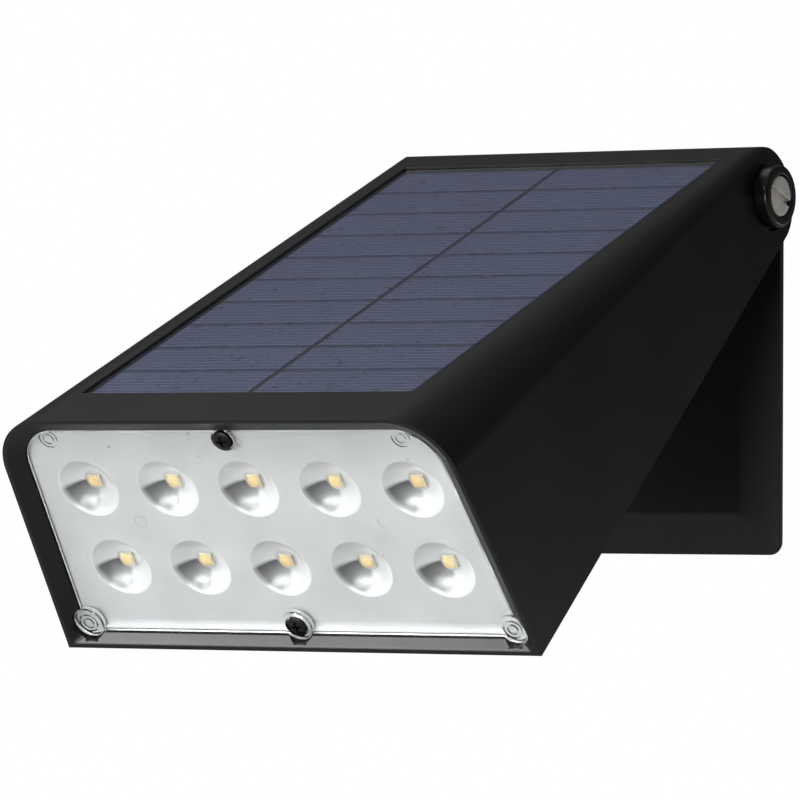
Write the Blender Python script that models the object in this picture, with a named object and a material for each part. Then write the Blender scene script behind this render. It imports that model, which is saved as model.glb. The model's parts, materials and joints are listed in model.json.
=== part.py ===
"""Solar flood light: a wedge-shaped lamp head that tilts on a bracket fixed to a wall.

World frame: the origin is the centre of the wall plate's back face, the wall is the plane y = 0,
the lamp stands out towards -Y, +X runs along the tilt axis and +Z is up. The meshes are written in
millimetres and scaled to metres as they are made.

Three local frames hang on the tilt axis and keep the sloping parts simple:
  HEAD   origin on the tilt axis, +Y to the rear along the top face, +Z out of the top face
  FRONT  origin at the middle of the front's top edge, +Y into the head, -Z down the front face
  UNDER  origin at the middle of the front's bottom edge, +Y to the rear along the underside, +Z inwards
"""

from math import asin, atan2, cos, hypot, pi, radians, sin, tan

import bmesh
import bpy
from mathutils import Matrix, Vector

MM = 0.001
MERGE = 0.0003           # points of one solid that are nearer than this, in millimetres, become one
GAP = 0.3                # clearance between neighbouring pieces
FAR = 120.0              # reach of a cutting block that only has to pass clear of the lamp

# Wall plate and tilt axis
PLATE_HALF = 52.5        # half width
PLATE_DROP = 101.0       # from the tilt axis down to the lower edge
PLATE_RISE = 8.0         # from the tilt axis up to the upper edge
PLATE_EDGE = 2.0         # thickness of the outer edge
PLATE_RAISE = 2.9        # how far the middle stands proud of the edge
PLATE_BEVEL = 11.7       # width of the sloping border
PLATE_CORNER = 4.0
PLATE_SKIN = 2.2
PLATE_RIM = 3.0          # width of the flat rim that rests on the wall
PLATE_HOLES = ((-34.0, 20.0), (34.0, 20.0), (0.0, -38.0))
PLATE_PAD = 7.0          # radius of the pad round each screw hole
RIB_HALF = 1.2
AXIS_OUT = 24.0          # tilt axis in front of the wall
AXIS_UP = (PLATE_DROP - PLATE_RISE) / 2
REST_TILT = radians(22.5)

# Lamp head, seen from the side: the rear end is round about the tilt axis
REAR_RADIUS = 14.0
TOP = REAR_RADIUS        # top face above the tilt axis
FRONT_REACH = 204.0      # tilt axis to the front's top edge, along the top face
FRONT_HEIGHT = 76.7
FRONT_LEAN = radians(14.4)
WALL = 2.0

# Lamp head, seen from the front and from above
TOP_HALF = 69.7          # half width where the top and side planes would meet, at the front
TAPER = 0.049            # how much the half width shrinks for each millimetre towards the rear
FLARE = radians(4.76)    # lean of the side walls
EDGE_RADIUS = 17.5       # rounding between the top and the sides, at the front
EDGE_RADIUS_REAR = 3.6   # the same at the tilt axis
ARC_STEPS = 7

# Front recess, lens, reflector and LEDs, as depths behind the front rim
RIM = 1.6
BEZEL = 5.4              # inset of the lens opening at its top and sides
BEZEL_FOOT = 3.3
LENS_FACE = 3.0
LENS_THICK = 2.0
REFLECTOR_FACE = 5.4
REFLECTOR_SKIN = 1.6
GASKET_THICK = 1.5
GASKET_WIDTH = 1.4
CUP_SKIN = 1.0
CUP_DEPTH = 5.0
CUP_MOUTH = 9.0
CUP_THROAT = 3.2
LED_PITCH_X = 25.5
LED_PITCH_DOWN = 26.3
LED_FIRST = 26.6
LED_HALF = 1.9
BOARD_FACE = 10.7
BOARD_THICK = 1.6
WELL_FLOOR = 15.6
BULKHEAD = 2.0
LENS_SCREWS = (9.0, 70.2)             # down the front face, on the centre line
LENS_SCREW_HOLE = 1.9
LENS_SCREW_HEAD = 2.9
LOWER_BOSS = (67.2, 70.15)            # round lobe at each bottom corner of the lens
LOBE = 4.6

# Solar panel
PANEL_HALF = 51.5
PANEL_START = 20.1       # behind the front's top edge
PANEL_END = 196.1
COVER_DOWN, COVER_THICK = 0.6, 0.5
CELL_DOWN, CELL_THICK = 1.3, 0.3
BACK_DOWN, BACK_THICK = 1.8, 1.0
TAPE_DOWN, TAPE_THICK, TAPE_WIDTH = 3.0, 0.5, 5.0
RECESS_DOWN = 3.7
ROOF = 4.8               # thickness of the roof over the cavity, recess included
CELL_ROWS = 10
CELL_GAP = 0.8
CELL_DIVIDER = 1.7
CELL_BORDER = 1.0
RIBBON_HALF = 1.0

# Tilt pivot, as distances from the middle plane
ARM_IN, ARM_OUT = 46.5, 51.3
ARM_RADIUS = 5.5
ARM_ROOT = 13.0          # how far the arm's root reaches below the axis
WASHER_OUT = 52.5
BOSS_IN = 52.8
BOSS_RADIUS = 6.4
PAD_FACE = 60.3          # flat seat of the collar on the side wall
PAD_RADIUS = 9.3
COLLAR_IN, COLLAR_OUT = 60.6, 65.0
COLLAR_RADIUS = 8.8
HEAD_SEAT = 62.5
HEAD_RADIUS = 5.8
HEAD_FACE = 64.8
SLOT_HALF, SLOT_DEPTH = 0.95, 1.3
SLOT_ANGLE = radians(-20)
SHANK = 2.0
SHANK_HOLE = 2.4
PIN = 2.1                # radius of the plain pin on the other side
PIN_END = 58.0
NUT_IN, NUT_OUT = 44.7, 47.9
NUT_FLATS = 7.0
SLOT_IN = 42.3           # slots in the head that the bracket arms swing in
SLOT_AHEAD = 12.0
REAR_BAY_HALF = 40.3

# Underside cover, heights measured inwards from the underside
POCKET_START, POCKET_END = 20.0, 163.0
POCKET_DEPTH = 4.0
LEDGE = 1.6
COVER_SHEET = 2.2
SEAL_LOW, SEAL_HIGH = 2.5, 3.7
COVER_SCREW_ROWS = (30.0, 92.0, 152.0)
COVER_SCREW_INSET = 7.8
COLUMN = 3.4             # radius of the screw columns in the housing and pillars on the cover
PILLAR = 2.6             # radius of the control board's pillars
BUTTON_AT = (0.0, 113.0)
BUTTON_RADIUS = 4.0

# Electronics, in the UNDER frame
BATTERY_RADIUS, BATTERY_LENGTH = 9.2, 65.0
BATTERY_ROWS = (45.2, 64.8)
BATTERY_UP = 14.0
CONTROL_HALF = 20.0
CONTROL_START, CONTROL_END = 96.0, 130.0
CONTROL_UP, CONTROL_THICK = 9.2, 1.6
HOLDER_SCREW_X = 41.0
HOLDER_MIDDLE = sum(BATTERY_ROWS) / 2
BOARD_SCREWS = ((-16.0, CONTROL_START + 4), (16.0, CONTROL_END - 4))
PANEL_LEAD_AT = (12.0, -58.0)         # hole for the panel's leads, in HEAD
LED_LEAD_DOWN = 40.0                  # hole for the LED board's leads, down the front face
WIRE = 0.65


# ---- Frames ------------------------------------------------------------------------------

FOOT_Y = -FRONT_REACH + FRONT_HEIGHT * sin(FRONT_LEAN)
FOOT_Z = TOP - FRONT_HEIGHT * cos(FRONT_LEAN)
UNDER_ANGLE = atan2(-FOOT_Z, -FOOT_Y) - asin(REAR_RADIUS / hypot(FOOT_Y, FOOT_Z))

FRONT = Matrix.Translation((0, -FRONT_REACH, TOP)) @ Matrix.Rotation(FRONT_LEAN, 4, "X")
UNDER = Matrix.Translation((0, FOOT_Y, FOOT_Z)) @ Matrix.Rotation(UNDER_ANGLE, 4, "X")


# ---- Materials ---------------------------------------------------------------------------

LOOKS = {
    # name: colour, roughness, metallic, alpha
    "black_shell": ((0.018, 0.018, 0.019), 0.42, 0.0, 1.0),
    "black_bracket": ((0.014, 0.014, 0.015), 0.55, 0.0, 1.0),
    "black_gloss": ((0.020, 0.020, 0.022), 0.22, 0.0, 1.0),
    "solar_glass": ((0.30, 0.32, 0.40), 0.10, 0.0, 0.30),
    "solar_cell": ((0.035, 0.042, 0.085), 0.30, 0.2, 1.0),
    "panel_back": ((0.045, 0.047, 0.043), 0.60, 0.0, 1.0),
    "foam": ((0.030, 0.030, 0.030), 0.95, 0.0, 1.0),
    "lens_clear": ((0.90, 0.92, 0.93), 0.12, 0.0, 0.30),
    "reflector_white": ((0.78, 0.79, 0.80), 0.25, 0.3, 1.0),
    "led_phosphor": ((0.95, 0.78, 0.38), 0.45, 0.0, 1.0),
    "board_white": ((0.80, 0.81, 0.80), 0.45, 0.0, 1.0),
    "board_green": ((0.03, 0.16, 0.07), 0.40, 0.0, 1.0),
    "steel": ((0.66, 0.64, 0.61), 0.28, 1.0, 1.0),
    "black_steel": ((0.06, 0.06, 0.06), 0.40, 0.8, 1.0),
    "rubber": ((0.02, 0.02, 0.02), 0.75, 0.0, 1.0),
    "nylon": ((0.70, 0.69, 0.64), 0.50, 0.0, 1.0),
    "battery_wrap": ((0.03, 0.20, 0.42), 0.35, 0.0, 1.0),
    "wire_red": ((0.60, 0.03, 0.03), 0.40, 0.0, 1.0),
    "wire_black": ((0.03, 0.03, 0.03), 0.40, 0.0, 1.0),
}


def look(name):
    """The named material, made the first time it is asked for."""
    if name in bpy.data.materials:
        return bpy.data.materials[name]
    colour, roughness, metallic, alpha = LOOKS[name]
    made = bpy.data.materials.new(name)
    made.use_nodes = True
    shader = made.node_tree.nodes["Principled BSDF"]
    shader.inputs["Base Color"].default_value = (*colour, 1.0)
    shader.inputs["Roughness"].default_value = roughness
    shader.inputs["Metallic"].default_value = metallic
    shader.inputs["Alpha"].default_value = alpha
    return made


# ---- Solids ------------------------------------------------------------------------------

def tidied(mesh_edit):
    """Merges points that lie on each other and drops faces with no area."""
    bmesh.ops.remove_doubles(mesh_edit, verts=mesh_edit.verts, dist=MERGE)
    bmesh.ops.dissolve_degenerate(mesh_edit, edges=mesh_edit.edges, dist=MERGE)


def finished(name, mesh_edit):
    """An object at the origin from a bmesh in millimetres, with its faces pointing out."""
    tidied(mesh_edit)
    bmesh.ops.recalc_face_normals(mesh_edit, faces=mesh_edit.faces)
    mesh = bpy.data.meshes.new(name)
    mesh_edit.to_mesh(mesh)
    mesh_edit.free()
    made = bpy.data.objects.new(name, mesh)
    bpy.context.scene.collection.objects.link(made)
    return made


ALONG = {
    "x": lambda a, b, t: (t, a, b),
    "y": lambda a, b, t: (a, t, b),
    "z": lambda a, b, t: (a, b, t),
}


def loft(name, axis, *layers):
    """A solid through flat outlines of equally many points: each layer is (outline, place along the axis)."""
    edit = bmesh.new()
    point = ALONG[axis]
    rings = [[edit.verts.new(point(a, b, at)) for a, b in outline] for outline, at in layers]
    edit.faces.new(rings[0])
    edit.faces.new(rings[-1])
    for lower, upper in zip(rings, rings[1:]):
        for i in range(len(lower)):
            j = (i + 1) % len(lower)
            edit.faces.new((lower[i], lower[j], upper[j], upper[i]))
    return finished(name, edit)


def prism(name, axis, outline, low, high):
    return loft(name, axis, (outline, low), (outline, high))


def box(name, low, high):
    outline = [(low[0], low[1]), (high[0], low[1]), (high[0], high[1]), (low[0], high[1])]
    return prism(name, "z", outline, low[2], high[2])


def turned(name, axis, profile, centre=(0.0, 0.0), steps=24):
    """A solid turned from a closed profile of (radius, distance along the axis) points."""
    edit = bmesh.new()
    point = ALONG[axis]
    rings = []
    for radius, along in profile:
        count = steps if radius > 0 else 1
        angles = [2 * pi * i / count for i in range(count)]
        rings.append([edit.verts.new(point(centre[0] + radius * cos(t), centre[1] + radius * sin(t), along))
                      for t in angles])
    for first, second in zip(rings, rings[1:] + rings[:1]):
        if len(first) == 1 and len(second) == 1:
            continue
        for i in range(steps):
            j = (i + 1) % steps
            corners = [first[i % len(first)], first[j % len(first)],
                       second[j % len(second)], second[i % len(second)]]
            edit.faces.new(dict.fromkeys(corners))
    return finished(name, edit)


def rod(name, axis, radius, low, high, centre=(0.0, 0.0), steps=24):
    return turned(name, axis, [(0, low), (radius, low), (radius, high), (0, high)], centre, steps)


def boolean(operation, target, *tools):
    """Cuts or joins the tools into the target and removes them."""
    for tool in tools:
        change = target.modifiers.new(operation.lower(), "BOOLEAN")
        change.operation = operation
        change.solver = "EXACT"
        change.object = tool
        graph = bpy.context.evaluated_depsgraph_get()
        edit = bmesh.new()
        edit.from_object(target, graph)
        tidied(edit)
        target.modifiers.clear()
        edit.to_mesh(target.data)
        edit.free()
        bpy.data.objects.remove(tool)
    return target


def cut(target, *tools):
    return boolean("DIFFERENCE", target, *tools)


def join(target, *tools):
    return boolean("UNION", target, *tools)


def keep_inside(target, *tools):
    return boolean("INTERSECT", target, *tools)


def gathered(name, pieces):
    """Separate solids put side by side in one mesh, to cut or join in one step."""
    edit = bmesh.new()
    for piece in pieces:
        edit.from_mesh(piece.data)
        bpy.data.objects.remove(piece)
    return finished(name, edit)


def shifted(made, frame):
    """Moves a solid's mesh from a local frame into the frame it hangs in."""
    made.data.transform(frame)
    return made


def empty(name, parent, matrix):
    made = bpy.data.objects.new(name, None)
    bpy.context.scene.collection.objects.link(made)
    made.parent = parent
    made.matrix_local = matrix
    return made


def placed(made, look_name, parent, smooth=True):
    """Scales a finished solid to metres, gives it its material and hangs it on its frame."""
    made.data.transform(Matrix.Scale(MM, 4))
    made.data.name = made.name
    made.data.materials.clear()
    made.data.materials.append(look(look_name))
    if smooth:
        made.data.shade_smooth()
        made.data.set_sharp_from_angle(angle=radians(32))
    made.parent = parent
    return made


# ---- Outlines ----------------------------------------------------------------------------

def arc(centre, radius, start, end, steps=ARC_STEPS):
    """Points on an arc, between two angles in radians, both ends included."""
    angles = [start + (end - start) * i / steps for i in range(steps + 1)]
    return [(centre[0] + radius * cos(t), centre[1] + radius * sin(t)) for t in angles]


def both_sides(right):
    """Closes an outline from its right half, listed from top to bottom."""
    return right + [(-x, z) for x, z in reversed(right)]


def top_half(y):
    """Half width where the top and side planes would meet, at a place along the head."""
    return TOP_HALF - TAPER * (y + FRONT_REACH)


def side_half(y, z):
    """Half width of the head at a place on its side wall."""
    return top_half(y) + (TOP - z) * tan(FLARE)


def edge_point(y, turn, inset):
    """A point (x, z) on the rounded edge between top and side, `turn` above the level."""
    radius = EDGE_RADIUS_REAR + (EDGE_RADIUS_REAR - EDGE_RADIUS) * y / FRONT_REACH
    middle = top_half(y) - radius * tan((pi / 2 - FLARE) / 2)
    return middle + (radius - inset) * cos(turn), TOP - radius + (radius - inset) * sin(turn)


EDGE_TURNS = [pi / 2 + (FLARE - pi / 2) * i / ARC_STEPS for i in range(ARC_STEPS + 1)]


def section(y, inset, bottom):
    """Cross-section of the head, (x, z) in HEAD, inset all round and cut off flat at a height."""
    right = [edge_point(y, turn, inset) for turn in EDGE_TURNS]
    return both_sides(right + [(side_half(y, bottom) - inset / cos(FLARE), bottom)])


def front_outline(inset, foot):
    """The same cross-section seen on the leaning front face: (x, -distance down the face)."""
    right = []
    for turn in EDGE_TURNS:
        y = -FRONT_REACH
        for _ in range(3):
            x, z = edge_point(y, turn, inset)
            y = -FRONT_REACH + (TOP - z) * tan(FRONT_LEAN)
        right.append((x, (z - TOP) / cos(FRONT_LEAN)))
    y, z = -FRONT_REACH + foot * sin(FRONT_LEAN), TOP - foot * cos(FRONT_LEAN)
    return both_sides(right + [(side_half(y, z) - inset / cos(FLARE), -foot)])


def rear_outline(offset, roof):
    """The round rear end from the roof to the underside, (y, z) in HEAD."""
    radius = REAR_RADIUS - offset
    return arc((0, 0), radius, asin(roof / radius), UNDER_ANGLE - pi / 2, 14)


def side_outline():
    """The head's outer shape from the side, (y, z) in HEAD."""
    return [(-FRONT_REACH, TOP)] + rear_outline(0, TOP) + [(FOOT_Y, FOOT_Z)]


def under_point(across, along, up):
    """A point of the UNDER frame in HEAD."""
    return UNDER @ Vector((across, along, up))


def under_half(along, up, inset):
    """Half width of the head at a place on its underside, less an inset."""
    place = under_point(0, along, up)
    return side_half(place.y, place.z) - inset


def under_outline(start, end, up, inset):
    """Tapered outline that follows the side walls on the underside, (x, y) in UNDER."""
    wide, narrow = under_half(start, up, inset), under_half(end, up, inset)
    return [(-wide, start), (wide, start), (narrow, end), (-narrow, end)]


def cover_screw_places():
    """Screw centres of the underside cover, (x, y) in UNDER, a pair in each row."""
    rows = [(under_half(row, 0, COVER_SCREW_INSET), row) for row in COVER_SCREW_ROWS]
    return [(side * x, row) for x, row in rows for side in (1, -1)]


def rounded_box(half_x, low, high, radius, steps=5):
    """Rounded rectangle, (x, z), centred on the middle plane."""
    right = arc((half_x - radius, high - radius), radius, pi / 2, 0, steps)
    right += arc((half_x - radius, low + radius), radius, 0, -pi / 2, steps)
    return both_sides(right)


# ---- Wall bracket, in the world frame ------------------------------------------------------

PLATE_TOP = (PLATE_DROP + PLATE_RISE) / 2
PLATE_FACE = PLATE_EDGE + PLATE_RAISE


def plate_layer(inset, radius):
    return rounded_box(PLATE_HALF - inset, -PLATE_TOP + inset, PLATE_TOP - inset, radius)


def plate_shell():
    """Bevelled plate with a flat rim and a hollow back."""
    edge = plate_layer(0, PLATE_CORNER)
    shell = loft("plate", "y", (edge, 0), (edge, -PLATE_EDGE), (plate_layer(PLATE_BEVEL, 1.0), -PLATE_FACE))
    hollow = loft("hollow", "y", (plate_layer(PLATE_RIM, 2.0), 1),
                  (plate_layer(PLATE_BEVEL, 1.0), -PLATE_FACE + PLATE_SKIN))
    return cut(shell, hollow)


def plate_ribs():
    """Ribs and screw pads inside the hollow back, level with the rim."""
    inset, depth = 5.2, -PLATE_EDGE - 1.2
    upright = box("upright", (-RIB_HALF, depth, -PLATE_TOP + inset), (RIB_HALF, 0, PLATE_TOP - inset))
    level = box("level", (-PLATE_HALF + inset, depth, -RIB_HALF), (PLATE_HALF - inset, 0, RIB_HALF))
    pads = [rod("pad", "y", PLATE_PAD, depth, 0, centre, 16) for centre in ((0.0, 0.0), *PLATE_HOLES)]
    return [upright, level] + pads


def arm_outline():
    """One bracket arm from the side, (y, z): a round eye on the tilt axis and a gusseted root."""
    eye = arc((-AXIS_OUT, AXIS_UP), ARM_RADIUS, pi / 2, 3 * pi / 2 + radians(14), 14)
    root = AXIS_UP - ARM_ROOT
    return eye + [(-PLATE_EDGE - 1, root), (-0.6, root), (-0.6, AXIS_UP + ARM_RADIUS)]


def hexagon(flats, centre):
    """Hexagon across the given flats, (y, z)."""
    return arc(centre, flats / 2 / cos(pi / 6), 0, 2 * pi, 6)[:-1]


def bracket_arm(side):
    """One arm and its bore; the right one has a hexagonal pocket that holds the nut."""
    axis_at = (-AXIS_OUT, AXIS_UP)
    arm = prism("arm", "x", arm_outline(), side * ARM_IN, side * ARM_OUT)
    arm = cut(arm, rod("bore", "x", SHANK_HOLE, side * (ARM_IN - 1), side * (ARM_OUT + 1), axis_at))
    if side > 0:
        cut(arm, prism("pocket", "x", hexagon(NUT_FLATS + 2 * GAP, axis_at), ARM_IN - 1, NUT_OUT + GAP))
    return arm


def wall_bracket():
    body = join(plate_shell(), *plate_ribs())
    body = join(body, bracket_arm(1), bracket_arm(-1))
    drills = []
    for hole in PLATE_HOLES:
        drills.append(turned("drill", "y", [(0, 1), (2.4, 1), (2.4, -PLATE_FACE + 2.4), (4.8, -PLATE_FACE),
                                            (4.8, -PLATE_FACE - 1), (0, -PLATE_FACE - 1)], hole, 16))
    body = cut(body, *drills)
    body.name = "wall_bracket"
    return placed(body, "black_bracket", None)


# ---- Lamp housing, in HEAD -----------------------------------------------------------------

def head_block(inset=0.0):
    """The head's outer wedge, or the same cross-section inset and left long, as a cutting block."""
    ends = [(section(y, inset, -FAR), y) for y in (-FRONT_REACH - 10, REAR_RADIUS + 6)]
    block = loft("block", "y", *ends)
    if inset:
        return block
    return keep_inside(prism("wedge", "x", side_outline(), -FAR, FAR), block)


def lens_lobes():
    """Centres of the round lobes on the lens's lower edge, (x, z) in FRONT."""
    x, down = LOWER_BOSS
    return [(0.0, -LENS_SCREWS[1]), (x, -down), (-x, -down)]


def front_well():
    """The recess in the front: a sloping bezel, the well behind it and round notches for the lobes."""
    foot = FRONT_HEIGHT - BEZEL_FOOT
    slope = (BEZEL - RIM) / LENS_FACE
    ahead = 0.5
    well = loft("well", "y", (front_outline(RIM - slope * ahead, FRONT_HEIGHT - RIM), -ahead),
                (front_outline(BEZEL, foot), LENS_FACE), (front_outline(BEZEL, foot), WELL_FLOOR))
    notches = [rod("notch", "y", LOBE + GAP, 0.8, REFLECTOR_FACE, centre, 20) for centre in lens_lobes()]
    return [shifted(piece, FRONT) for piece in (well, *notches)]


def cover_bosses(radius, low, high):
    """One column for each screw of the underside cover, in UNDER moved to HEAD."""
    columns = [rod("column", "z", radius, low, high, at, 10) for at in cover_screw_places()]
    return shifted(gathered("columns", columns), UNDER)


def main_cavity():
    """The cavity behind the front bulkhead, with the opening for the underside cover."""
    front = FRONT @ Vector((0, WELL_FLOOR + BULKHEAD, 0))
    roof = TOP - ROOF
    shelf = 6.0
    rear = -SLOT_AHEAD - WALL
    low_front = under_point(0, POCKET_START - 1, shelf)
    low_rear = under_point(0, POCKET_END + 1, shelf)
    outline = [(front.y + (front.z - roof) * tan(FRONT_LEAN), roof), (rear, roof), (rear, low_rear.z),
               (low_rear.y - 2, low_rear.z - 0.5), (low_front.y, low_front.z)]
    cavity = keep_inside(prism("cavity", "x", outline, -FAR, FAR), head_block(WALL))
    edges = (POCKET_START + LEDGE, POCKET_END - LEDGE)
    opening = loft("opening", "z", (under_outline(*edges, 0, WALL + LEDGE), POCKET_DEPTH - 0.5),
                   (under_outline(*edges, shelf, WALL + LEDGE), shelf + 1))
    cavity = join(cavity, shifted(opening, UNDER))
    return cut(cavity, cover_bosses(COLUMN, POCKET_DEPTH - 1, FAR))


def cover_pocket():
    outline = under_outline(POCKET_START, POCKET_END, 0, WALL)
    return shifted(prism("pocket", "z", outline, -3, POCKET_DEPTH), UNDER)


def rear_bay():
    """The hollow between the two arm slots, open to the main cavity."""
    roof = TOP - ROOF
    outline = rear_outline(WALL + 0.2, roof)
    y, z = outline[-1]
    run = y + SLOT_AHEAD + WALL + 2
    outline += [(y - run, z - run * tan(UNDER_ANGLE) + 4.2), (y - run, roof)]
    return prism("bay", "x", outline, -REAR_BAY_HALF, REAR_BAY_HALF)


def slot_region(roof):
    """What an arm slot covers from the side, (y, z): open behind and below, closed by a roof."""
    return [(-SLOT_AHEAD, -FAR), (FAR, -FAR), (FAR, roof), (-SLOT_AHEAD, roof)]


def arm_slots():
    """Slots at the rear corners that the bracket arms swing in, round the boss of each pivot."""
    slots = []
    split = PANEL_HALF + WALL
    for side in (1, -1):
        slot = prism("slot", "x", slot_region(TOP - WALL), side * split, side * FAR)
        slot = keep_inside(slot, head_block(WALL))
        slot = join(slot, prism("lower", "x", slot_region(TOP - ROOF), side * SLOT_IN, side * (split + 1)))
        slots.append(cut(slot, rod("boss", "x", BOSS_RADIUS, side * BOSS_IN, side * FAR)))
    return slots


def panel_recess():
    half, front, rear = PANEL_HALF + GAP, PANEL_FRONT - GAP, PANEL_REAR + GAP
    return box("recess", (-half, front, TOP - RECESS_DOWN), (half, rear, TOP + 3))


def lamp_housing(head):
    """The one-piece shell of the head: clamp screw's bore on the right, blind pin bore on the left."""
    pad = rod("pad", "x", PAD_RADIUS, BOSS_IN + 4, PAD_FACE, (0.0, 0.0), 32)
    spotface = rod("spotface", "x", PAD_RADIUS + 0.2, PAD_FACE, FAR, (0.0, 0.0), 40)
    body = join(head_block(), pad)
    body = cut(body, *front_well(), panel_recess(), main_cavity(), cover_pocket(), rear_bay(), *arm_slots())
    bores = [rod("bore", "x", SHANK_HOLE, REAR_BAY_HALF - 1, FAR),
             rod("bore", "x", SHANK_HOLE, -REAR_BAY_HALF + 1, -PIN_END - GAP)]
    lens_holes = [shifted(piece, FRONT) for piece in front_drills(1.6, 10, 40)]
    led_lead = shifted(rod("lead", "y", 3.5, 10, 30, (0, -LED_LEAD_DOWN), 16), FRONT)
    panel_lead = rod("lead", "z", 2.6, 0, TOP, PANEL_LEAD_AT, 16)
    body = cut(body, spotface, *bores, *lens_holes, led_lead, panel_lead, cover_bosses(1.5, -1, 14))
    body.name = "lamp_housing"
    return placed(body, "black_shell", head)


# ---- Solar panel, in HEAD --------------------------------------------------------------------

PANEL_FRONT = PANEL_START - FRONT_REACH
PANEL_REAR = PANEL_END - FRONT_REACH


def panel_sheet(name, down, thick, look_name, head):
    sheet = box(name, (-PANEL_HALF, PANEL_FRONT, TOP - down - thick), (PANEL_HALF, PANEL_REAR, TOP - down))
    return placed(sheet, look_name, head, smooth=False)


def cell_string(name, side, head):
    """One column of ten cells, tied together by a ribbon down its middle."""
    inner, outer = CELL_DIVIDER / 2, PANEL_HALF - CELL_BORDER
    middle = (inner + outer) / 2
    across = [side * x for x in (inner, middle - RIBBON_HALF, middle + RIBBON_HALF, outer)]
    start = PANEL_FRONT + CELL_BORDER
    pitch = (PANEL_REAR - PANEL_FRONT - 2 * CELL_BORDER) / CELL_ROWS
    along = []
    for row in range(CELL_ROWS):
        along += [start + row * pitch + CELL_GAP / 2, start + (row + 1) * pitch - CELL_GAP / 2]
    edit = bmesh.new()
    level = TOP - CELL_DOWN - CELL_THICK
    grid = [[edit.verts.new((x, y, level)) for x in across] for y in along]
    for j in range(len(along) - 1):
        columns = range(len(across) - 1) if j % 2 == 0 else (1,)
        for i in columns:
            edit.faces.new((grid[j][i], grid[j][i + 1], grid[j + 1][i + 1], grid[j + 1][i]))
    raised = bmesh.ops.extrude_face_region(edit, geom=edit.faces[:])["geom"]
    upper = [part for part in raised if isinstance(part, bmesh.types.BMVert)]
    bmesh.ops.translate(edit, vec=(0, 0, CELL_THICK), verts=upper)
    return placed(finished(name, edit), "solar_cell", head, smooth=False)


def panel_tape(head):
    """Foam tape frame that glues the panel into its recess."""
    low, high = TOP - TAPE_DOWN - TAPE_THICK, TOP - TAPE_DOWN
    tape = box("panel_tape", (-PANEL_HALF, PANEL_FRONT, low), (PANEL_HALF, PANEL_REAR, high))
    window = box("window", (-PANEL_HALF + TAPE_WIDTH, PANEL_FRONT + TAPE_WIDTH, low - 1),
                 (PANEL_HALF - TAPE_WIDTH, PANEL_REAR - TAPE_WIDTH, high + 1))
    return placed(cut(tape, window), "foam", head, smooth=False)


# ---- Front: lens, gasket, reflector, board and LEDs, in FRONT ----------------------------------

LENS_FOOT = FRONT_HEIGHT - BEZEL_FOOT - GAP


def led_places():
    """LED centres, (x, z) in FRONT: two rows of five."""
    rows = [-(LED_FIRST + row * LED_PITCH_DOWN) for row in range(2)]
    return [(column * LED_PITCH_X, z) for z in rows for column in range(-2, 3)]


def front_drills(radius, low, high):
    return [rod("drill", "y", radius, low, high, (0, -down), 16) for down in LENS_SCREWS]


def lens_cover(front):
    """Clear plate with a round lobe at each bottom corner and at the lower screw."""
    back = LENS_FACE + LENS_THICK
    plate = prism("lens_cover", "y", front_outline(BEZEL + GAP, LENS_FOOT), LENS_FACE, back)
    lobes = [rod("lobe", "y", LOBE, LENS_FACE - 0.4, back, centre, 20) for centre in lens_lobes()]
    seats = front_drills(LENS_SCREW_HEAD + 0.4, LENS_FACE - 1, LENS_FACE + 1)
    drills = front_drills(LENS_SCREW_HOLE, 0, back + 1)
    return placed(cut(join(plate, *lobes), *seats, *drills), "lens_clear", front)


def lens_gasket(front):
    """Seal round the back of the reflector, in the well behind the lens."""
    low = REFLECTOR_FACE + REFLECTOR_SKIN + GAP
    high = low + GASKET_THICK
    ring = prism("lens_gasket", "y", front_outline(BEZEL + GAP, LENS_FOOT), low, high)
    inner = front_outline(BEZEL + GAP + GASKET_WIDTH, LENS_FOOT - GASKET_WIDTH)
    return placed(cut(ring, prism("inside", "y", inner, low - 1, high + 1)), "rubber", front)


def reflector(front):
    """White plate with ten cups, each open at the bottom for its LED."""
    face, plate_back, cup_back = REFLECTOR_FACE, REFLECTOR_FACE + REFLECTOR_SKIN, REFLECTOR_FACE + CUP_DEPTH
    mouth, throat = CUP_MOUTH + CUP_SKIN, CUP_THROAT + CUP_SKIN
    shell = [(0, face + 0.5), (mouth, face + 0.5), (mouth, plate_back), (throat, cup_back), (0, cup_back)]
    bowl = [(0, face - 1), (CUP_MOUTH, face - 1), (CUP_MOUTH, face), (6.6, face + 2.2), (4.4, face + 3.8),
            (CUP_THROAT, cup_back + 1), (0, cup_back + 1)]
    plate = prism("reflector", "y", front_outline(BEZEL + GAP, LENS_FOOT), face, plate_back)
    shells = [turned("shell", "y", shell, centre, 12) for centre in led_places()]
    bowls = [turned("bowl", "y", bowl, centre, 12) for centre in led_places()]
    plate = join(plate, gathered("shells", shells))
    plate = cut(plate, gathered("bowls", bowls), *front_drills(LENS_SCREW_HOLE, 0, 30))
    return placed(plate, "reflector_white", front)


def led_board(front):
    outline = front_outline(BEZEL + 2, LENS_FOOT - 2)
    board = prism("led_board", "y", outline, BOARD_FACE, BOARD_FACE + BOARD_THICK)
    return placed(cut(board, *front_drills(LENS_SCREW_HOLE, 0, 30)), "board_white", front)


def led_chip(number, centre, front):
    """Square LED package with a low phosphor dome."""
    x, z = centre
    back = BOARD_FACE - 0.25
    base_face = back - 0.8
    base = box("base", (x - LED_HALF, base_face, z - LED_HALF), (x + LED_HALF, back, z + LED_HALF))
    profile = [(0, back - 0.5), (1.6, back - 0.5), (1.5, back - 1.1), (0.9, back - 1.5), (0, back - 1.6)]
    chip = join(base, turned("dome", "y", profile, centre, 8))
    chip.name = f"led_chip_{number}"
    return placed(chip, "led_phosphor", front)


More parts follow.
